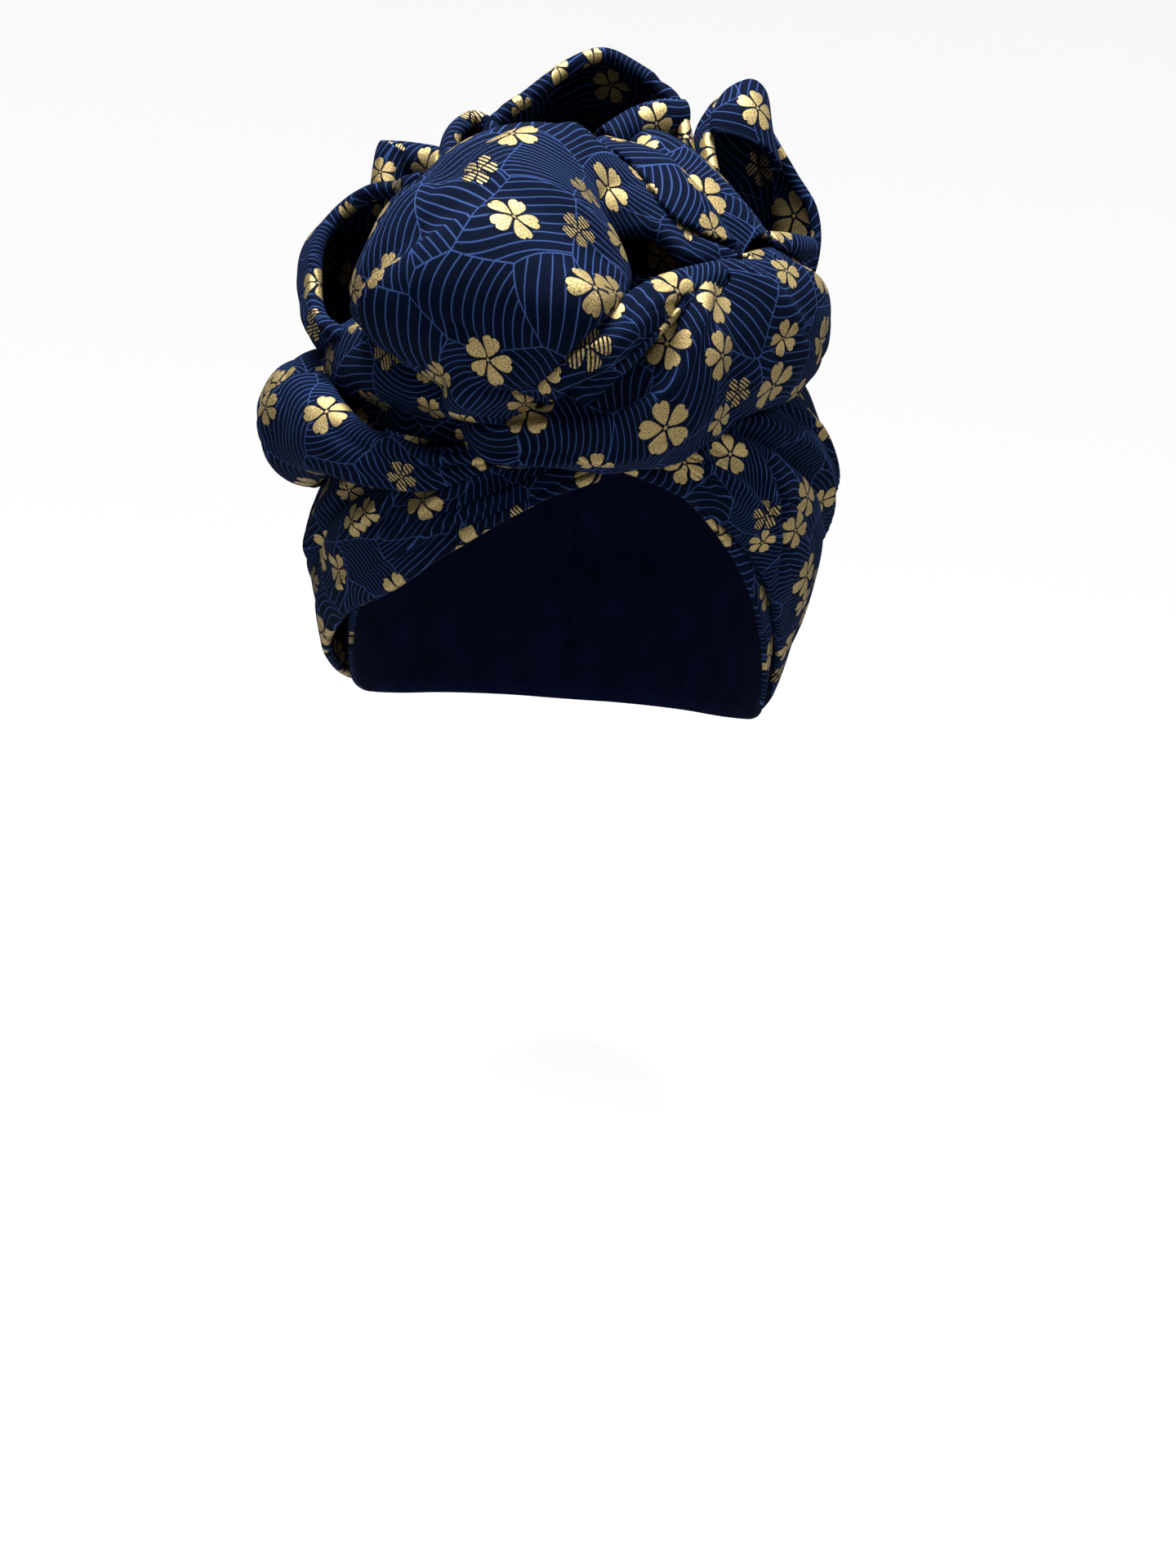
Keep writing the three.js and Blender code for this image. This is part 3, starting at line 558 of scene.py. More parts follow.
WAY_OUT = Vector((0.291, -0.357, 0.888))
MOST_CROSSINGS = 24
STEP_PAST = 1e-6


def inside(tree, point):
    """Whether a point is in a closed shape: a line out of it meets the skin an odd number of times."""
    hits = 0
    where = point.copy()
    for _ in range(MOST_CROSSINGS):
        hit, _, _, _ = tree.ray_cast(where, WAY_OUT)
        if hit is None:
            break
        hits += 1
        where = hit + WAY_OUT * STEP_PAST
    return hits % 2 == 1


def sew(name, points, grain, inner=None):
    """A piece of the cloth from its grid of points, trimmed where earlier folds lie over it."""
    rows, columns = points.shape[:2]
    corners = [Vector(p) for p in points.reshape(-1, 3)]
    hidden = np.array([any(inside(tree, p) for tree in taken) for p in corners])
    mesh = bpy.data.meshes.new(name)
    quads = []
    for i in range(rows - 1):
        for j in range(columns - 1):
            a = i * columns + j
            quad = (a, a + columns, a + columns + 1, a + 1)
            if not hidden[list(quad)].all():
                quads.append(quad)
    mesh.from_pydata(corners, [], quads)
    share = mesh.attributes.new("along", "FLOAT", "POINT")
    share.data.foreach_set("value", np.repeat(np.linspace(0, 1, rows), columns).astype(np.float32))
    piece = bpy.data.objects.new(name, mesh)
    bpy.context.collection.objects.link(piece)
    keep_largest(mesh)
    lay_print(piece, grain)
    mesh.polygons.foreach_set("use_smooth", [True] * len(mesh.polygons))
    mesh.materials.append(print_side)
    mesh.materials.append(inner or print_side)
    wall = piece.modifiers.new("wall", "SOLIDIFY")
    wall.thickness = CLOTH
    wall.offset = 0
    wall.material_offset = 1
    wall.use_quality_normals = True
    apply_modifiers(piece)
    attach(piece, "root")
    return piece


def apply_modifiers(piece):
    bpy.context.view_layer.objects.active = piece
    piece.select_set(True)
    for modifier in list(piece.modifiers):
        bpy.ops.object.modifier_apply(modifier=modifier.name)
    piece.select_set(False)


def keep_largest(mesh):
    """Drops the scraps that a trim leaves, and the points with no face."""
    shape = bmesh.new()
    shape.from_mesh(mesh)
    left = set(shape.faces)
    best = set()
    while left:
        group = {left.pop()}
        reached = list(group)
        while reached:
            face = reached.pop()
            for side in face.edges:
                for other in side.link_faces:
                    if other in left:
                        left.discard(other)
                        group.add(other)
                        reached.append(other)
        if len(group) > len(best):
            best = group
    bmesh.ops.delete(shape, geom=[f for f in shape.faces if f not in best], context="FACES")
    loose = [v for v in shape.verts if not v.link_faces]
    bmesh.ops.delete(shape, geom=loose, context="VERTS")
    shape.to_mesh(mesh)
    shape.free()


def lay_print(piece, grain):
    """Lays the print over the flattened cloth at its real size, turned to the piece's grain."""
    mesh = piece.data
    mesh.uv_layers.new(name="cloth")
    bpy.context.view_layer.objects.active = piece
    piece.select_set(True)
    bpy.ops.object.mode_set(mode="EDIT")
    bpy.ops.mesh.select_all(action="SELECT")
    bpy.ops.uv.unwrap(method="MINIMUM_STRETCH", iterations=8, no_flip=False, margin=0)
    bpy.ops.object.mode_set(mode="OBJECT")
    piece.select_set(False)
    loops = len(mesh.loops)
    uv = np.zeros(loops * 2)
    mesh.uv_layers["cloth"].data.foreach_get("uv", uv)
    uv = uv.reshape(-1, 2)
    corner = np.zeros(loops, int)
    mesh.loops.foreach_get("vertex_index", corner)
    first = np.array([p.loop_start for p in mesh.polygons])
    a, b, c, d = (uv[first + k] for k in range(4))
    one, other = c - a, d - b
    flat_area = 0.5 * np.abs(one[:, 0] * other[:, 1] - one[:, 1] * other[:, 0]).sum()
    real_area = sum(p.area for p in mesh.polygons)
    share = np.zeros(len(mesh.vertices), np.float32)
    mesh.attributes["along"].data.foreach_get("value", share)
    way = ((uv - uv.mean(axis=0)) * (share[corner] - share[corner].mean())[:, None]).sum(axis=0)
    angle = math.radians(grain["angle"]) - math.atan2(way[1], way[0])
    turn = np.array([[math.cos(angle), math.sin(angle)], [-math.sin(angle), math.cos(angle)]])
    uv = (uv - uv.mean(axis=0)) @ turn * math.sqrt(real_area / flat_area)
    straight = uv @ np.linalg.eigh(np.cov(uv.T))[1]
    piece["flat"] = [float(x) for x in straight.max(axis=0) - straight.min(axis=0)]
    piece["area"] = float(real_area)
    uv += np.array([grain["x"], grain["y"]])
    mesh.uv_layers["cloth"].data.foreach_set("uv", uv.ravel())


SEED_STEP = 3.7


def lay(name, point, mesh_size, grain, pleats=(), crumple=0.6, edges=(0, 0)):
    """One fold of the cloth: its surface, pleats, dents and turned edges, and its place among the rest."""
    u = np.linspace(0, 1, mesh_size[0])[:, None]
    v = np.linspace(0, 1, mesh_size[1])[None, :]
    points = crumpled(pleated(point(u, v), pleats), crumple * MM, len(taken) * SEED_STEP)
    points = turned_edges(points, *(radius * MM for radius in edges))
    piece = sew(name, points, grain)
    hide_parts(name.removesuffix("_cloth"))
    take_room(point)


CAP_TURNS, CAP_RINGS = 145, 49
CROWN_CLOSED = 0.985
RINGS_CROWDED = 0.93
HEM_SMOOTHING = 9


def cap_surface(out):
    """A surface round the cap, at a distance out from its inner one."""
    turns = np.linspace(-180, 180, CAP_TURNS)
    away = np.abs(turns) / 180
    keys = [row["turn"] / 180 for row in CAP_HEM]
    hem = np.interp(away, keys, [row["hem"] for row in CAP_HEM]) * DROP
    hem = np.concatenate([hem[-5:-1], hem, hem[1:5]])
    hem = np.convolve(hem, np.ones(HEM_SMOOTHING) / HEM_SMOOTHING, "valid")[:, None]
    up = np.linspace(0, 1, CAP_RINGS)[None, :] ** RINGS_CROWDED
    z = hem * (1 - np.cos(np.pi / 2 * (1 - up * CROWN_CLOSED)))
    points = beside_head(turns[:, None], z, out)
    points[..., 2] += out * np.maximum(1 + z / CROWN_DEPTH, 0)
    return points


CAP_OUT = 0.001
CAP_DENTS = 0.0002
CAP_ROOM = 0.0024
cap_points = crumpled(cap_surface(CAP_OUT), CAP_DENTS, 1)
cap_points[-1] = cap_points[0]
cap = sew("crown_cap_cloth", cap_points, {"angle": 20, "x": 0.3, "y": 0.1}, inner=wrong_side)
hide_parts("crown_cap")

# The cap and all that is inside it take up their room before the folds are laid.
head_rings = cap_surface(CAP_ROOM)
rows, columns = head_rings.shape[:2]
head_corners = list(map(Vector, head_rings.reshape(-1, 3)))
head_corners += [Vector((0, 0, CAP_ROOM)), Vector((0, 0, -CROWN_DEPTH))]
head_faces = []
for i in range(rows - 1):
    for j in range(columns - 1):
        a = i * columns + j
        head_faces += [(a, a + columns, a + columns + 1), (a, a + columns + 1, a + 1)]
    head_faces += [(i * columns + columns - 1, (i + 1) * columns + columns - 1, rows * columns)]
    head_faces += [((i + 1) * columns, i * columns, rows * columns + 1)]
taken.append(BVHTree.FromPolygons(head_corners, head_faces))


# Left wrap
# A wide band of the cotton with a narrow turned hem, from under the rose down past the left temple
# and round to the nape.
BAND = "turn low low_out high high_out swell"
PLEAT = "u0 v0 u1 v1 wide high lean"
LEFT_WRAP = table(
    BAND,
    (-181, -160, 4, -38, 7, 3),
    (-145, -158, 6, -38, 8, 4),
    (-115, -153, 9, -42, 9, 5),
    (-96, -144, 11, -50, 11, 4),
    (-80, -131, 11, -57, 12, 3),
    (-61, -115, 7, -62, 11, 3),
    (-40, -103, 4, -62, 9, 2),
    (-24, -89, 3.8, -59, 7, 1),
    (-9, -76, 3.8, -56, 6, 0.5),
    (4, -66, 3.8, -53, 5, 0),
    (17, -59, 3.8, -51, 4, 0),
)


def band(rows):
    """Cloth laid round the cap between a low and a high edge."""

    def point(u, v):
        z = (eased(rows, "low", u) * (1 - v) + eased(rows, "high", u) * v) * DROP
        swell = eased(rows, "swell", u) * np.sin(np.pi * np.clip(v, 0, 1))
        out = eased(rows, "low_out", u) * (1 - v) + eased(rows, "high_out", u) * v + swell
        return beside_head(eased(rows, "turn", u), z, out * FULL)

    return point


left_wrap_pleats = table(
    PLEAT,
    (0.62, 1.0, 0.40, 0.34, 7, 3.4, 0.2),
    (0.74, 1.0, 0.50, 0.30, 7, 2.8, 0.2),
    (0.92, 0.9, 0.60, 0.34, 6, 2.2, 0.3),
    (0.64, 1.0, 0.43, 0.34, 2.5, -3),
    (0.80, 0.28, 0.42, 0.10, 5, 1.6, 0.4),
    (0.40, 1.0, 0.46, 0.05, 8, 1.4, 0.25),
    (0.15, 0.75, 0.40, 0.45, 7, 2.5, 0.4),
)
lay(
    "left_wrap_cloth",
    band(LEFT_WRAP),
    (200, 70),
    {"angle": 8, "x": 0.1, "y": 0.6},
    left_wrap_pleats,
    0.8,
    (1.0, 0),
)


# Right wrap
# The same band on the other side, pulled up in slanting pleats under the lobe, and lapped over
# the left wrap at the nape.
RIGHT_WRAP = table(
    BAND,
    (2, -58, 6.4, -48, 8, 0.5),
    (12, -61, 6.4, -46, 8, 1),
    (22, -65, 4.6, -44, 9, 2),
    (33, -71, 4, -41, 11, 4),
    (45, -81, 4, -38, 14, 6),
    (57, -94, 4.5, -33, 18, 5),
    (70, -112, 5, -28, 24, 2.5),
    (84, -132, 5, -26, 27, 1),
    (98, -148, 4.5, -27, 25, 2),
    (122, -156, 4.5, -32, 17, 4),
    (150, -159, 5.5, -36, 12, 5),
    (176, -160, 7, -38, 11, 4),
    (198, -159, 8.5, -40, 12, 4),
)
right_wrap_pleats = table(
    PLEAT,
    (0.64, 0.52, 0.24, 0.86, 9, 4.6, 0.12),
    (0.64, 0.45, 0.25, 0.79, 3, -3.5),
    (0.60, 0.62, 0.34, 1.0, 6, 3, 0.15),
    (0.30, 0.68, 0.42, 0.0, 4.5, 2.6, 0.3),
    (0.33, 0.64, 0.44, 0.02, 2.5, -2.6),
    (0.05, 0.6, 0.40, 0.2, 4, 2.2, 0.4),
    (0.1, 0.34, 0.4, 0.05, 3, 1.4),
)
lay(
    "right_wrap_cloth",
    band(RIGHT_WRAP),
    (220, 76),
    {"angle": -12, "x": 0.9, "y": 0.2},
    right_wrap_pleats,
    0.8,
    (1.0, 0),
)


# Twisted rolls
# Two folds of the same cotton, rolled in on themselves and twisted in front of the hollow of the
# rose. Their ends are tucked in under the petal and the ridges.
ROLL = "x y z wide yaw pitch"
TWIST_FRONT = table(
    ROLL,
    (-6, -124, -45, 6, -5, -10),
    (-1, -129, -40, 9, 0, 0),
    (6, -130, -34, 11.5, 5, 5),
    (13, -126, -27, 12, 10, 20),
    (20, -118, -19, 11.5, 15, 35),
    (28, -107, -12, 10, 15, 45),
    (40, -97, -6, 7, 15, 50),
)
TWIST_BEHIND = table(
    ROLL,
    (4, -115, -47, 6, 20, -20),
    (10, -119, -41, 8, 25, -10),
    (15, -121, -35, 9.5, 25, -5),
    (20, -119, -28, 9.5, 25, 0),
    (31, -109, -15, 8, 25, 5),
)


NEXT_TO = 0.01


def roll(rows, curl):
    """A roll of cloth along its crest, open behind."""

    def point(u, v):
        crest = placed(rows, "x y z", u)
        travel = unit(placed(rows, "x y z", u + NEXT_TO) - placed(rows, "x y z", u - NEXT_TO))
        yaw = np.radians(eased(rows, "yaw", u))
        pitch = np.radians(eased(rows, "pitch", u))
        out = np.stack([np.sin(yaw) * np.cos(pitch), -np.cos(yaw) * np.cos(pitch), np.sin(pitch)], axis=-1)
        out = unit(out - (out * travel).sum(axis=-1, keepdims=True) * travel)
        side = np.cross(out, travel)
        radius = (eased(rows, "wide", u) * FULL / 2)[..., None]
        angle = (np.radians(curl) * (v - 0.5))[..., None]
        return crest + side * radius * np.sin(angle) + out * radius * (np.cos(angle) - 1)

    return point


twist_pleats = table(PLEAT, (0.1, 0.62, 0.95, 0.45, 2.2, -1.2), (0.2, 0.3, 0.9, 0.25, 2, -0.8))
lay(
    "twist_front_cloth",
    roll(TWIST_FRONT, 320),
    (90, 60),
    {"angle": 80, "x": 0.4, "y": 0.4},
    twist_pleats,
    0.6,
)
lay("twist_behind_cloth", roll(TWIST_BEHIND, 300), (60, 44), {"angle": 60, "x": 0.2, "y": 0.8}, (), 0.5)


# Big petal
# The broad rounded fold of the cotton in front, which turns round the hollow of the rose. Its free
# edge is soft and its foot is tucked in behind.
PETAL = "fx fy fz cx cy cz tx ty tz"
BIG_PETAL = table(
    PETAL,
    (-1, -110, -44, -6, -112, -47, -11, -110, -49),
    (4, -111, -38, -8, -119, -44, -20, -108, -52),
    (9, -110, -31, -12, -129, -42, -33, -101, -50),
    (15, -108, -23, -15, -136, -31, -33, -100, -43),
    (16, -105, -15, -18, -137, -18, -58, -82, -28),
    (14, -102, -9, -15, -125, 4, -49, -73, -24),
    (10, -100, -4, -9, -108, 17, -33, -64, -16),
    (9, -99, 0, -1, -92, 25, -17, -56, -8),
    (20, -98, 3, 20, -92, 12.5, 6, -54, -2),
    (32, -100, -2, 33, -92, 4, 30, -62, -4),
    (44, -91, -5, 46, -87, 0, 46, -76, -5),
)


def petal(rows):
    """A fold from its free edge, over its crest, to its foot, each section one round arc."""

    def point(u, v):
        start, crest, end = (placed(rows, c, u) for c in ("fx fy fz", "cx cy cz", "tx ty tz"))
        back, on = start - crest, end - crest
        bend = (unit(back) * unit(on)).sum(axis=-1, keepdims=True)
        half = np.pi - np.arccos(np.clip(bend, -1, 1))
        across = end - start
        chord = np.linalg.norm(across, axis=-1, keepdims=True)
        across = across / chord
        radius = chord / (2 * np.sin(half))
        out = -unit(back - (back * across).sum(axis=-1, keepdims=True) * across)
        angle = 2 * half * (np.asarray(v)[..., None] - 0.5)
        rise = out * radius * (np.cos(angle) - np.cos(half))
        return (start + end) / 2 + across * radius * np.sin(angle) + rise

    return point


petal_pleats = table(
    PLEAT,
    (0.42, 0.1, 0.62, 0.75, 5, -2.4),
    (0.31, 0.98, 0.47, 0.34, 9, 3.8, 0.18),
    (0.345, 0.98, 0.50, 0.36, 3, -3),
    (0.66, 0.25, 0.82, 0.65, 4, 2.0, 0.4),
    (0.78, 0.35, 0.93, 0.55, 3.5, 1.8, 0.4),
    (0.15, 0.35, 0.40, 0.22, 6, 2.0, 0.4),
    (0.5, 0.75, 0.7, 0.55, 5, 2, 0.4),
    (0.1, 0.5, 0.3, 0.72, 4, -1.8),
)
lay(
    "big_petal_cloth",
    petal(BIG_PETAL),
    (190, 84),
    {"angle": 70, "x": 0.62, "y": 0.58},
    petal_pleats,
    1.2,
    (1.8, 0),
)


# Brow band
# The fold that crosses low over the brow, swells into the lobe at the right and goes on round
# the back, where it is tucked over the end of the left roll.
FOLD = "fx fy fz tx ty tz bulge"
BROW_BAND = table(
    FOLD,
    (-27, -95, -58, -29, -97, -50, 2),
    (-20, -94, -63, -22, -106, -47, 6),
    (-6, -95, -63, -8, -110, -44, 8),
    (12, -95, -63, 10, -111, -41, 9),
    (28, -91, -61, 22, -110, -33, 10),
    (38, -86, -54, 31, -106, -18, 11),
    (49, -77, -46, 42, -91, -4, 13),
    (62, -61, -39, 55, -70, 4, 15),
    (71, -41, -34, 64, -47, 8, 13),
    (77, -15, -30, 67, -20, 6, 11),
    (77, 14, -32, 65, 8, -5, 9),
    (64, 44, -36, 54, 36, -12, 8),
    (36, 68, -40, 32, 57, -18, 7),
    (2, 78, -44, 2, 64, -20, 6),
)


def fold(rows):
    """A fold that bulges between its two edges."""

    def edges(u):
        return placed(rows, "fx fy fz", u), placed(rows, "tx ty tz", u)

    def point(u, v):
        start, end = edges(u)
        travel = sum(edges(u + NEXT_TO)) - sum(edges(u - NEXT_TO))
        across = end - start
        chord = np.linalg.norm(across, axis=-1, keepdims=True)
        out = unit(np.cross(travel, across))
        bulge = (eased(rows, "bulge", u) * FULL)[..., None]
        radius = (chord**2 / 4 + bulge**2) / (2 * bulge)
        angle = 4 * np.arctan2(2 * bulge, chord) * (np.asarray(v)[..., None] - 0.5)
        rise = out * (radius * np.cos(angle) - radius + bulge)
        return (start + end) / 2 + across / chord * radius * np.sin(angle) + rise

    return point


band_pleats = table(
    PLEAT,
    (0.02, 0.36, 0.36, 0.42, 4, 2.0, 0.3),
    (0.05, 0.66, 0.34, 0.78, 4, 2.0, 0.3),
    (0.44, 1.02, 0.62, 0.62, 6, 2.8, 0.3),
    (0.45, 1.02, 0.66, 0.72, 3, -3),
    (0.45, 1.02, 0.31, 0.70, 5, 2.6, 0.3),
    (0.44, 1.0, 0.40, 0.30, 5, -2.4),
    (0.45, 1.0, 0.53, 0.35, 6, 2.4, 0.3),
    (0.30, 0.15, 0.60, 0.10, 5, 2.0, 0.3),
)
lay(
    "brow_band_cloth",
    fold(BROW_BAND),
    (230, 60),
    {"angle": 4, "x": 0.55, "y": 0.3},
    band_pleats,
    1.0,
    (1.6, 1.2),
)


# Left lobe
# The roll of the cotton that swells at the left and runs in under the band, and the layer behind
# it. Both are folded from the one length and tucked in at their ends.
LEFT_ROLL = table(
    FOLD,
    (12, 80, -45, 12, 65, -22, 6),
    (-24, 75, -48, -22, 62, -23, 7),
    (-56, 52, -54, -50, 45, -24, 9),
    (-75, 18, -63, -68, 13, -25, 12),
    (-85, -12, -71, -77, -16, -26, 16),
    (-88, -36, -74, -82, -42, -31, 19),
    (-78, -61, -70, -76, -68, -42, 15),
    (-62, -77, -67, -63, -84, -53, 11),
    (-48, -85, -67, -49, -92, -59, 8.5),
    (-35, -90, -66, -36, -96, -61, 7),
    (-22, -93, -64, -23, -97, -59, 4),
)
LEFT_FOLD = table(
    FOLD,
    (-78, -48, -50, -74, -50, -22, 7),
    (-68, -66, -56, -66, -66, -22, 10),
    (-53, -79, -60, -54, -78, -22, 13),
    (-37, -88, -62, -40, -86, -26, 13),
    (-24, -93, -60, -26, -90, -30, 10),
)
roll_pleats = table(
    PLEAT,
    (0.53, 0.0, 0.60, 0.97, 7, 3.6, 0.2),
    (0.515, 0.0, 0.585, 0.97, 3, -3),
    (0.62, 0.28, 0.98, 0.42, 5, 2.4, 0.3),
    (0.64, 0.72, 0.98, 0.62, 4, -2.0),
    (0.30, 0.6, 0.52, 0.5, 7, 2, 0.4),
)
lay(
    "left_roll_cloth",
    fold(LEFT_ROLL),
    (210, 64),
    {"angle": -5, "x": 0.2, "y": 0.15},
    roll_pleats,
    1.0,
    (1.4, 1.4),
)
left_fold_pleats = table(
    PLEAT,
    (0.05, 0.14, 1.05, 0.2, 9, -9),
    (0.1, 0.8, 0.75, 0.72, 6, 2.2, 0.3),
)
lay("left_fold_cloth", fold(LEFT_FOLD), (80, 40), {"angle": 15, "x": 0.65, "y": 0.9}, left_fold_pleats, 1.2)


# Ridges
# Two ridges of the cotton that run from behind the big petal down to the right. They are folds of
# the one length, tucked in over the cap.
RIDGE_NEAR = table(
    PETAL,
    (-2, -82, 20, 6, -70, 31, 8, -50, 12),
    (13, -90, 14, 20, -83, 24, 25, -64, 9),
    (25, -97, 4, 31, -91, 13, 37, -74, 1),
    (35, -95, -5, 40, -90, 4, 45, -77, -6),
    (43, -90, -9, 47, -86, 0, 51, -75, -10),
)
RIDGE_FAR = table(
    PETAL,
    (10, -66, 27, 14, -56, 39, 12, -36, 8),
    (20, -77, 22, 26, -64, 34, 26, -40, 4),
    (31, -82, 13, 37, -70, 25.5, 40, -46, -2),
    (39, -82, 5, 45, -74, 15.5, 50, -52, -10),
    (46, -80, -5, 51, -75, 6, 56, -58, -18),
)
lay("ridge_near_cloth", petal(RIDGE_NEAR), (70, 44), {"angle": 30, "x": 0.35, "y": 0.55}, (), 0.6)
lay("ridge_far_cloth", petal(RIDGE_FAR), (70, 50), {"angle": 50, "x": 0.85, "y": 0.45}, (), 0.6)


# Tall loop
# The loop of the cotton that stands up behind like a hood, open to the front, with a curl of cloth
# over its rim. Its foot goes down to the cap behind the other folds.
LOOP_CURL = table(
    ROLL,
    (29, -54, 46, 8, 10, 30),
    (22, -58, 45, 9, 0, 40),
    (14, -62, 41, 9, 0, 40),
    (5, -67, 34, 8, 0, 45),
)
BACK_LOOP = table(
    PETAL,
    (-31, -66, 14, -35, -50, 14, -34, -38, -8),
    (-30, -60, 36, -33, -41, 30, -34, -22, -2),
    (-20, -57, 45, -24, -34, 40, -24, -8, -2),
    (-9, -51, 56, -12, -26, 48, -12, 4, -1),
    (3, -46, 62, 0, -21, 52, 0, 10, -1),
    (15, -46, 58, 14, -23, 49, 14, 4, -1),
    (26, -50, 50, 26, -31, 41, 27, -10, -4),
    (31, -57, 36, 35, -40, 28, 36, -24, -3),
    (34, -64, 14, 39, -50, 12, 38, -38, -8),
)
lay("loop_curl_cloth", roll(LOOP_CURL, 310), (44, 40), {"angle": 90, "x": 0.1, "y": 0.35}, (), 0.4)
loop_pleats = table(
    PLEAT,
    (0.3, 0.05, 0.45, 0.8, 5, 1.8, 0.3),
    (0.6, 0.1, 0.7, 0.7, 5, -1.8),
    (0.12, 0.16, 0.5, 0.14, 3.5, 1.6, 0.3),
    (0.5, 0.14, 0.9, 0.2, 3.5, 1.6, 0.3),
)
lay(
    "back_loop_cloth",
    petal(BACK_LOOP),
    (130, 60),
    {"angle": 95, "x": 0.512, "y": 0.066},
    loop_pleats,
    0.9,
    (1.4, 0),
)


# Left folds
# A small hood, a loop open to the front, and the corner of the cotton behind them with its rolled
# rim. Their feet are tucked in over the cap.
PEAK_HOOD = table(
    PETAL,
    (-41, -78, 14, -45, -62, 17, -40, -48, -8),
    (-42, -68, 30, -45, -50, 28, -40, -34, -10),
    (-38, -60, 38, -39, -42, 34, -36, -24, -8),
    (-33, -58, 39, -31, -42, 34, -31, -20, -6),
    (-27, -62, 34, -24, -48, 30, -27, -24, -6),
    (-26, -70, 26, -22, -58, 22, -24, -40, -8),
)
LEFT_LOOP = table(
    PETAL,
    (-66, -80, -34, -73, -62, -40, -62, -46, -50),
    (-78, -72, -26, -84, -52, -28, -66, -26, -44),
    (-84, -60, -14, -90, -38, -14, -66, -10, -42),
    (-85, -52, -1, -90, -30, 0, -62, 0, -36),
    (-80, -46, 11, -82, -26, 10, -54, 2, -26),
    (-70, -50, 17, -69, -30, 15, -46, -4, -17),
    (-58, -60, 18, -55, -42, 17, -40, -16, -13),
    (-48, -72, 17, -45, -58, 15, -36, -34, -14),
)
LEFT_PEAK = table(
    PETAL,
    (-69, -46, 12, -67, -24, 8, -54, 8, -26),
    (-67, -43, 30, -62, -20, 23, -50, 14, -20),
    (-62, -42, 33.5, -53, -19, 28, -42, 16, -13),
    (-48, -45, 32, -42, -24, 27, -32, 10, -7),
    (-36, -57, 25, -34, -38, 20, -27, -6, -4),
)
rim_pleats = table(
    PLEAT,
    (0.05, 0.2, 0.55, 0.16, 4, 1.8, 0.3),
    (0.45, 0.3, 0.95, 0.2, 4, 1.8, 0.3),
    (0.2, 0.1, 0.4, 0.8, 5, -1.6),
    (0.55, 0.1, 0.6, 0.8, 5, 1.8, 0.4),
)
lay("peak_hood_cloth", petal(PEAK_HOOD), (90, 50), {"angle": 85, "x": 0.15, "y": 0.7}, (), 0.7, (1.5, 0))
lay(
    "left_loop_cloth",
    petal(LEFT_LOOP),
    (120, 56),
    {"angle": 75, "x": 0.95, "y": 0.6},
    rim_pleats,
    0.9,
    (1.6, 0),
)
lay("left_peak_cloth", petal(LEFT_PEAK), (90, 56), {"angle": 65, "x": 0.4, "y": 0.95}, (), 0.8, (4.5, 0))


# Pointed end
# The end of the cloth, which stands up at the right in a cupped point. Its tip is folded forwards
# and a curl of it lies in front of its foot.
EAR_TIP = table(
    FOLD,
    (45, -41, 57.5, 52, -40, 57.5, 1.5),
    (41, -45, 53.5, 54, -41, 53.5, 4),
    (38, -52, 46, 56, -45, 43, 5),
    (38, -55, 40, 60, -46, 33, 4),
)
EAR_CURL = table(
    ROLL,
    (46, -72, 9, 6, 20, 40),
    (55, -66, 9, 9, 30, 40),
    (66, -56, 11, 9, 40, 40),
    (74, -44, 13, 6, 50, 40),
)
RIGHT_EAR = table(
    PETAL,
    (46, -64, -30, 58, -32, -32, 66, -34, -28),
    (44, -65, -12, 61, -29, -13, 71, -33, -10),
    (42, -65, 6, 62, -26, 5, 76, -33, 10),
    (39, -61, 22, 58, -26, 22, 74, -33, 24),
    (36, -52, 38, 52, -26, 38, 66, -34, 35),
    (38, -45, 48, 48, -30, 49, 57, -38, 46),
    (42, -42, 54, 48, -34, 55, 54, -38, 53),
    (46, -40, 57.5, 49, -38, 58.5, 52, -39, 57.5),
)
lay("ear_tip_cloth", fold(EAR_TIP), (50, 36), {"angle": 90, "x": 0.33, "y": 0.42}, (), 0.5, (0.8, 0.8))
lay("ear_curl_cloth", roll(EAR_CURL, 300), (44, 36), {"angle": 0, "x": 0.25, "y": 0.65}, (), 0.5)
ear_pleats = table(
    PLEAT,
    (0.1, 0.3, 0.7, 0.25, 4, 1.8, 0.3),
    (0.2, 0.8, 0.75, 0.72, 4, 1.8, 0.3),
    (0.1, 0.55, 0.6, 0.5, 5, -1.6),
)
lay(
    "right_ear_cloth",
    petal(RIGHT_EAR),
    (120, 60),
    {"angle": 90, "x": 0.7, "y": 0.1},
    ear_pleats,
    0.8,
    (1.2, 1.2),
)


# Floor and light
# A plain pale sweep well below the turban, which curves up to a wall all round, and large soft
# lamps above, in front and beside it.
SWEEP = table(
    "radius height",
    (0, -0.36),
    (0.9, -0.36),
    (1.5, -0.33),
    (2.1, -0.12),
    (2.5, 0.30),
    (2.6, 0.80),
    (2.6, 1.60),
)
FLOOR_RINGS = 40
FLOOR_SIDES = 96
share = np.linspace(0.001, 1, FLOOR_RINGS)
profile = np.stack([eased(SWEEP, "radius", share), eased(SWEEP, "height", share)], axis=-1)
angles = np.linspace(0, 2 * np.pi, FLOOR_SIDES + 1)[:-1]
rings = [[(r * np.cos(a), r * np.sin(a), z) for a in angles] for r, z in profile]
faces = []
for i in range(FLOOR_RINGS - 1):
    for j in range(FLOOR_SIDES):
        k = (j + 1) % FLOOR_SIDES
        inner, outer = i * FLOOR_SIDES, (i + 1) * FLOOR_SIDES
        faces.append((inner + j, inner + k, outer + k, outer + j))
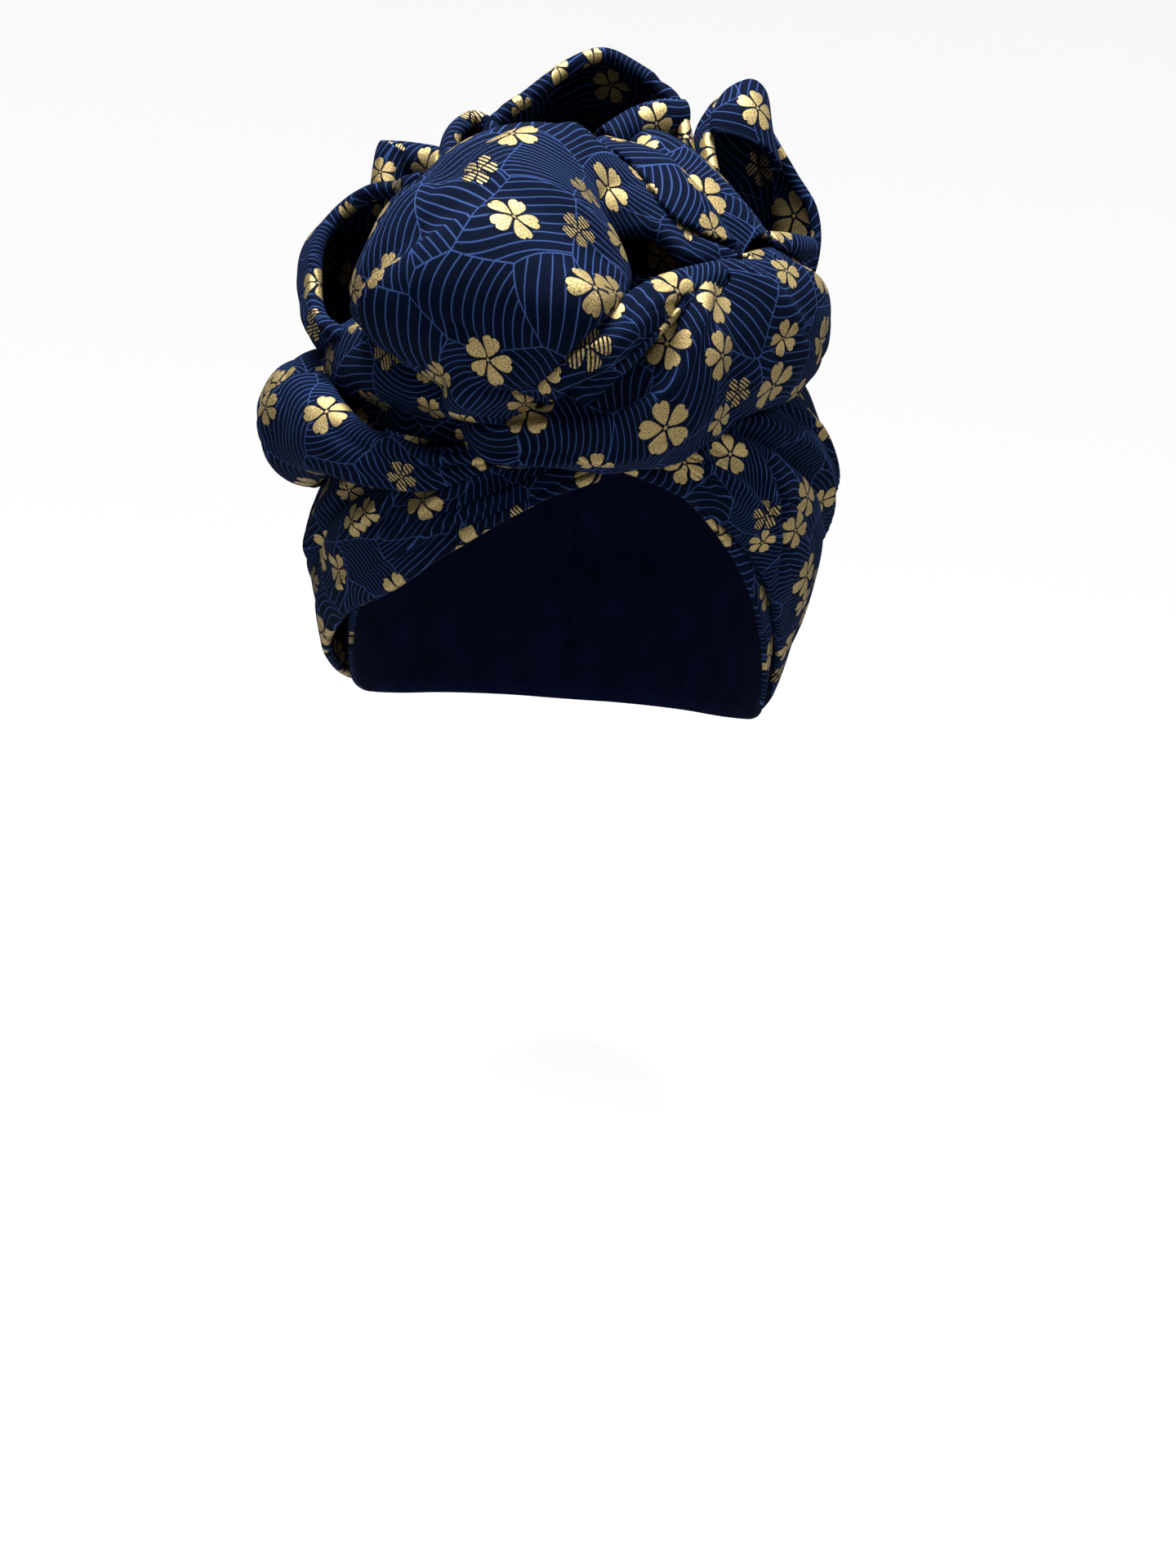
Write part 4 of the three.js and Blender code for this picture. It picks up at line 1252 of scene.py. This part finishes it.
faces.append(tuple(range(FLOOR_SIDES))[::-1])
sweep = bpy.data.meshes.new("floor")
sweep.from_pydata([corner for ring in rings for corner in ring], [], faces)
sweep.polygons.foreach_set("use_smooth", [True] * len(sweep.polygons))
floor = bpy.data.objects.new("floor", sweep)
bpy.context.collection.objects.link(floor)
pale = bpy.data.materials.new("pale_floor")
pale.use_nodes = True
FLOOR_COLOUR = (0.45, 0.45, 0.45, 1)
FLOOR_GLOW = 0.80
shader = pale.node_tree.nodes["Principled BSDF"]
shader.inputs["Base Color"].default_value = FLOOR_COLOUR
shader.inputs["Roughness"].default_value = 0.9
shader.inputs["Emission Color"].default_value = (1, 1, 1, 1)
glow = Nodes(pale.node_tree)
seen = glow.add("ShaderNodeLightPath").outputs["Is Camera Ray"]
glow.feed(shader.inputs["Emission Strength"], glow.math("MULTIPLY", seen, FLOOR_GLOW))
floor.data.materials.append(pale)

ROOM_LIGHT = 0.12
ROOM_SEEN = 0.84
world = bpy.data.worlds.new("studio")
bpy.context.scene.world = world
world.use_nodes = True
room = Nodes(world.node_tree)
seen = room.add("ShaderNodeLightPath").outputs["Is Camera Ray"]
background = world.node_tree.nodes["Background"]
room.feed(background.inputs["Strength"], room.math("MULTIPLY_ADD", seen, ROOM_SEEN, ROOM_LIGHT))
background.inputs["Color"].default_value = (1, 1, 1, 1)
bpy.context.scene.view_settings.view_transform = "Standard"

LAMPS_FACE = Vector((0, -0.04, -0.03))
LAMPS = (
    ("lamp_above", (-0.05, -0.28, 0.95), 0.55, 27),
    ("lamp_front", (-0.35, -0.85, 0.95), 0.6, 8),
    ("lamp_right", (1.0, -0.3, 0.60), 0.6, 5),
)
for name, place, size, power in LAMPS:
    light = bpy.data.lights.new(name, "AREA")
    light.shape = "DISK"
    light.size = size
    light.energy = power
    lamp = bpy.data.objects.new(name, light)
    lamp.location = place
    lamp.rotation_euler = (LAMPS_FACE - Vector(place)).to_track_quat("-Z", "Y").to_euler()
    bpy.context.collection.objects.link(lamp)
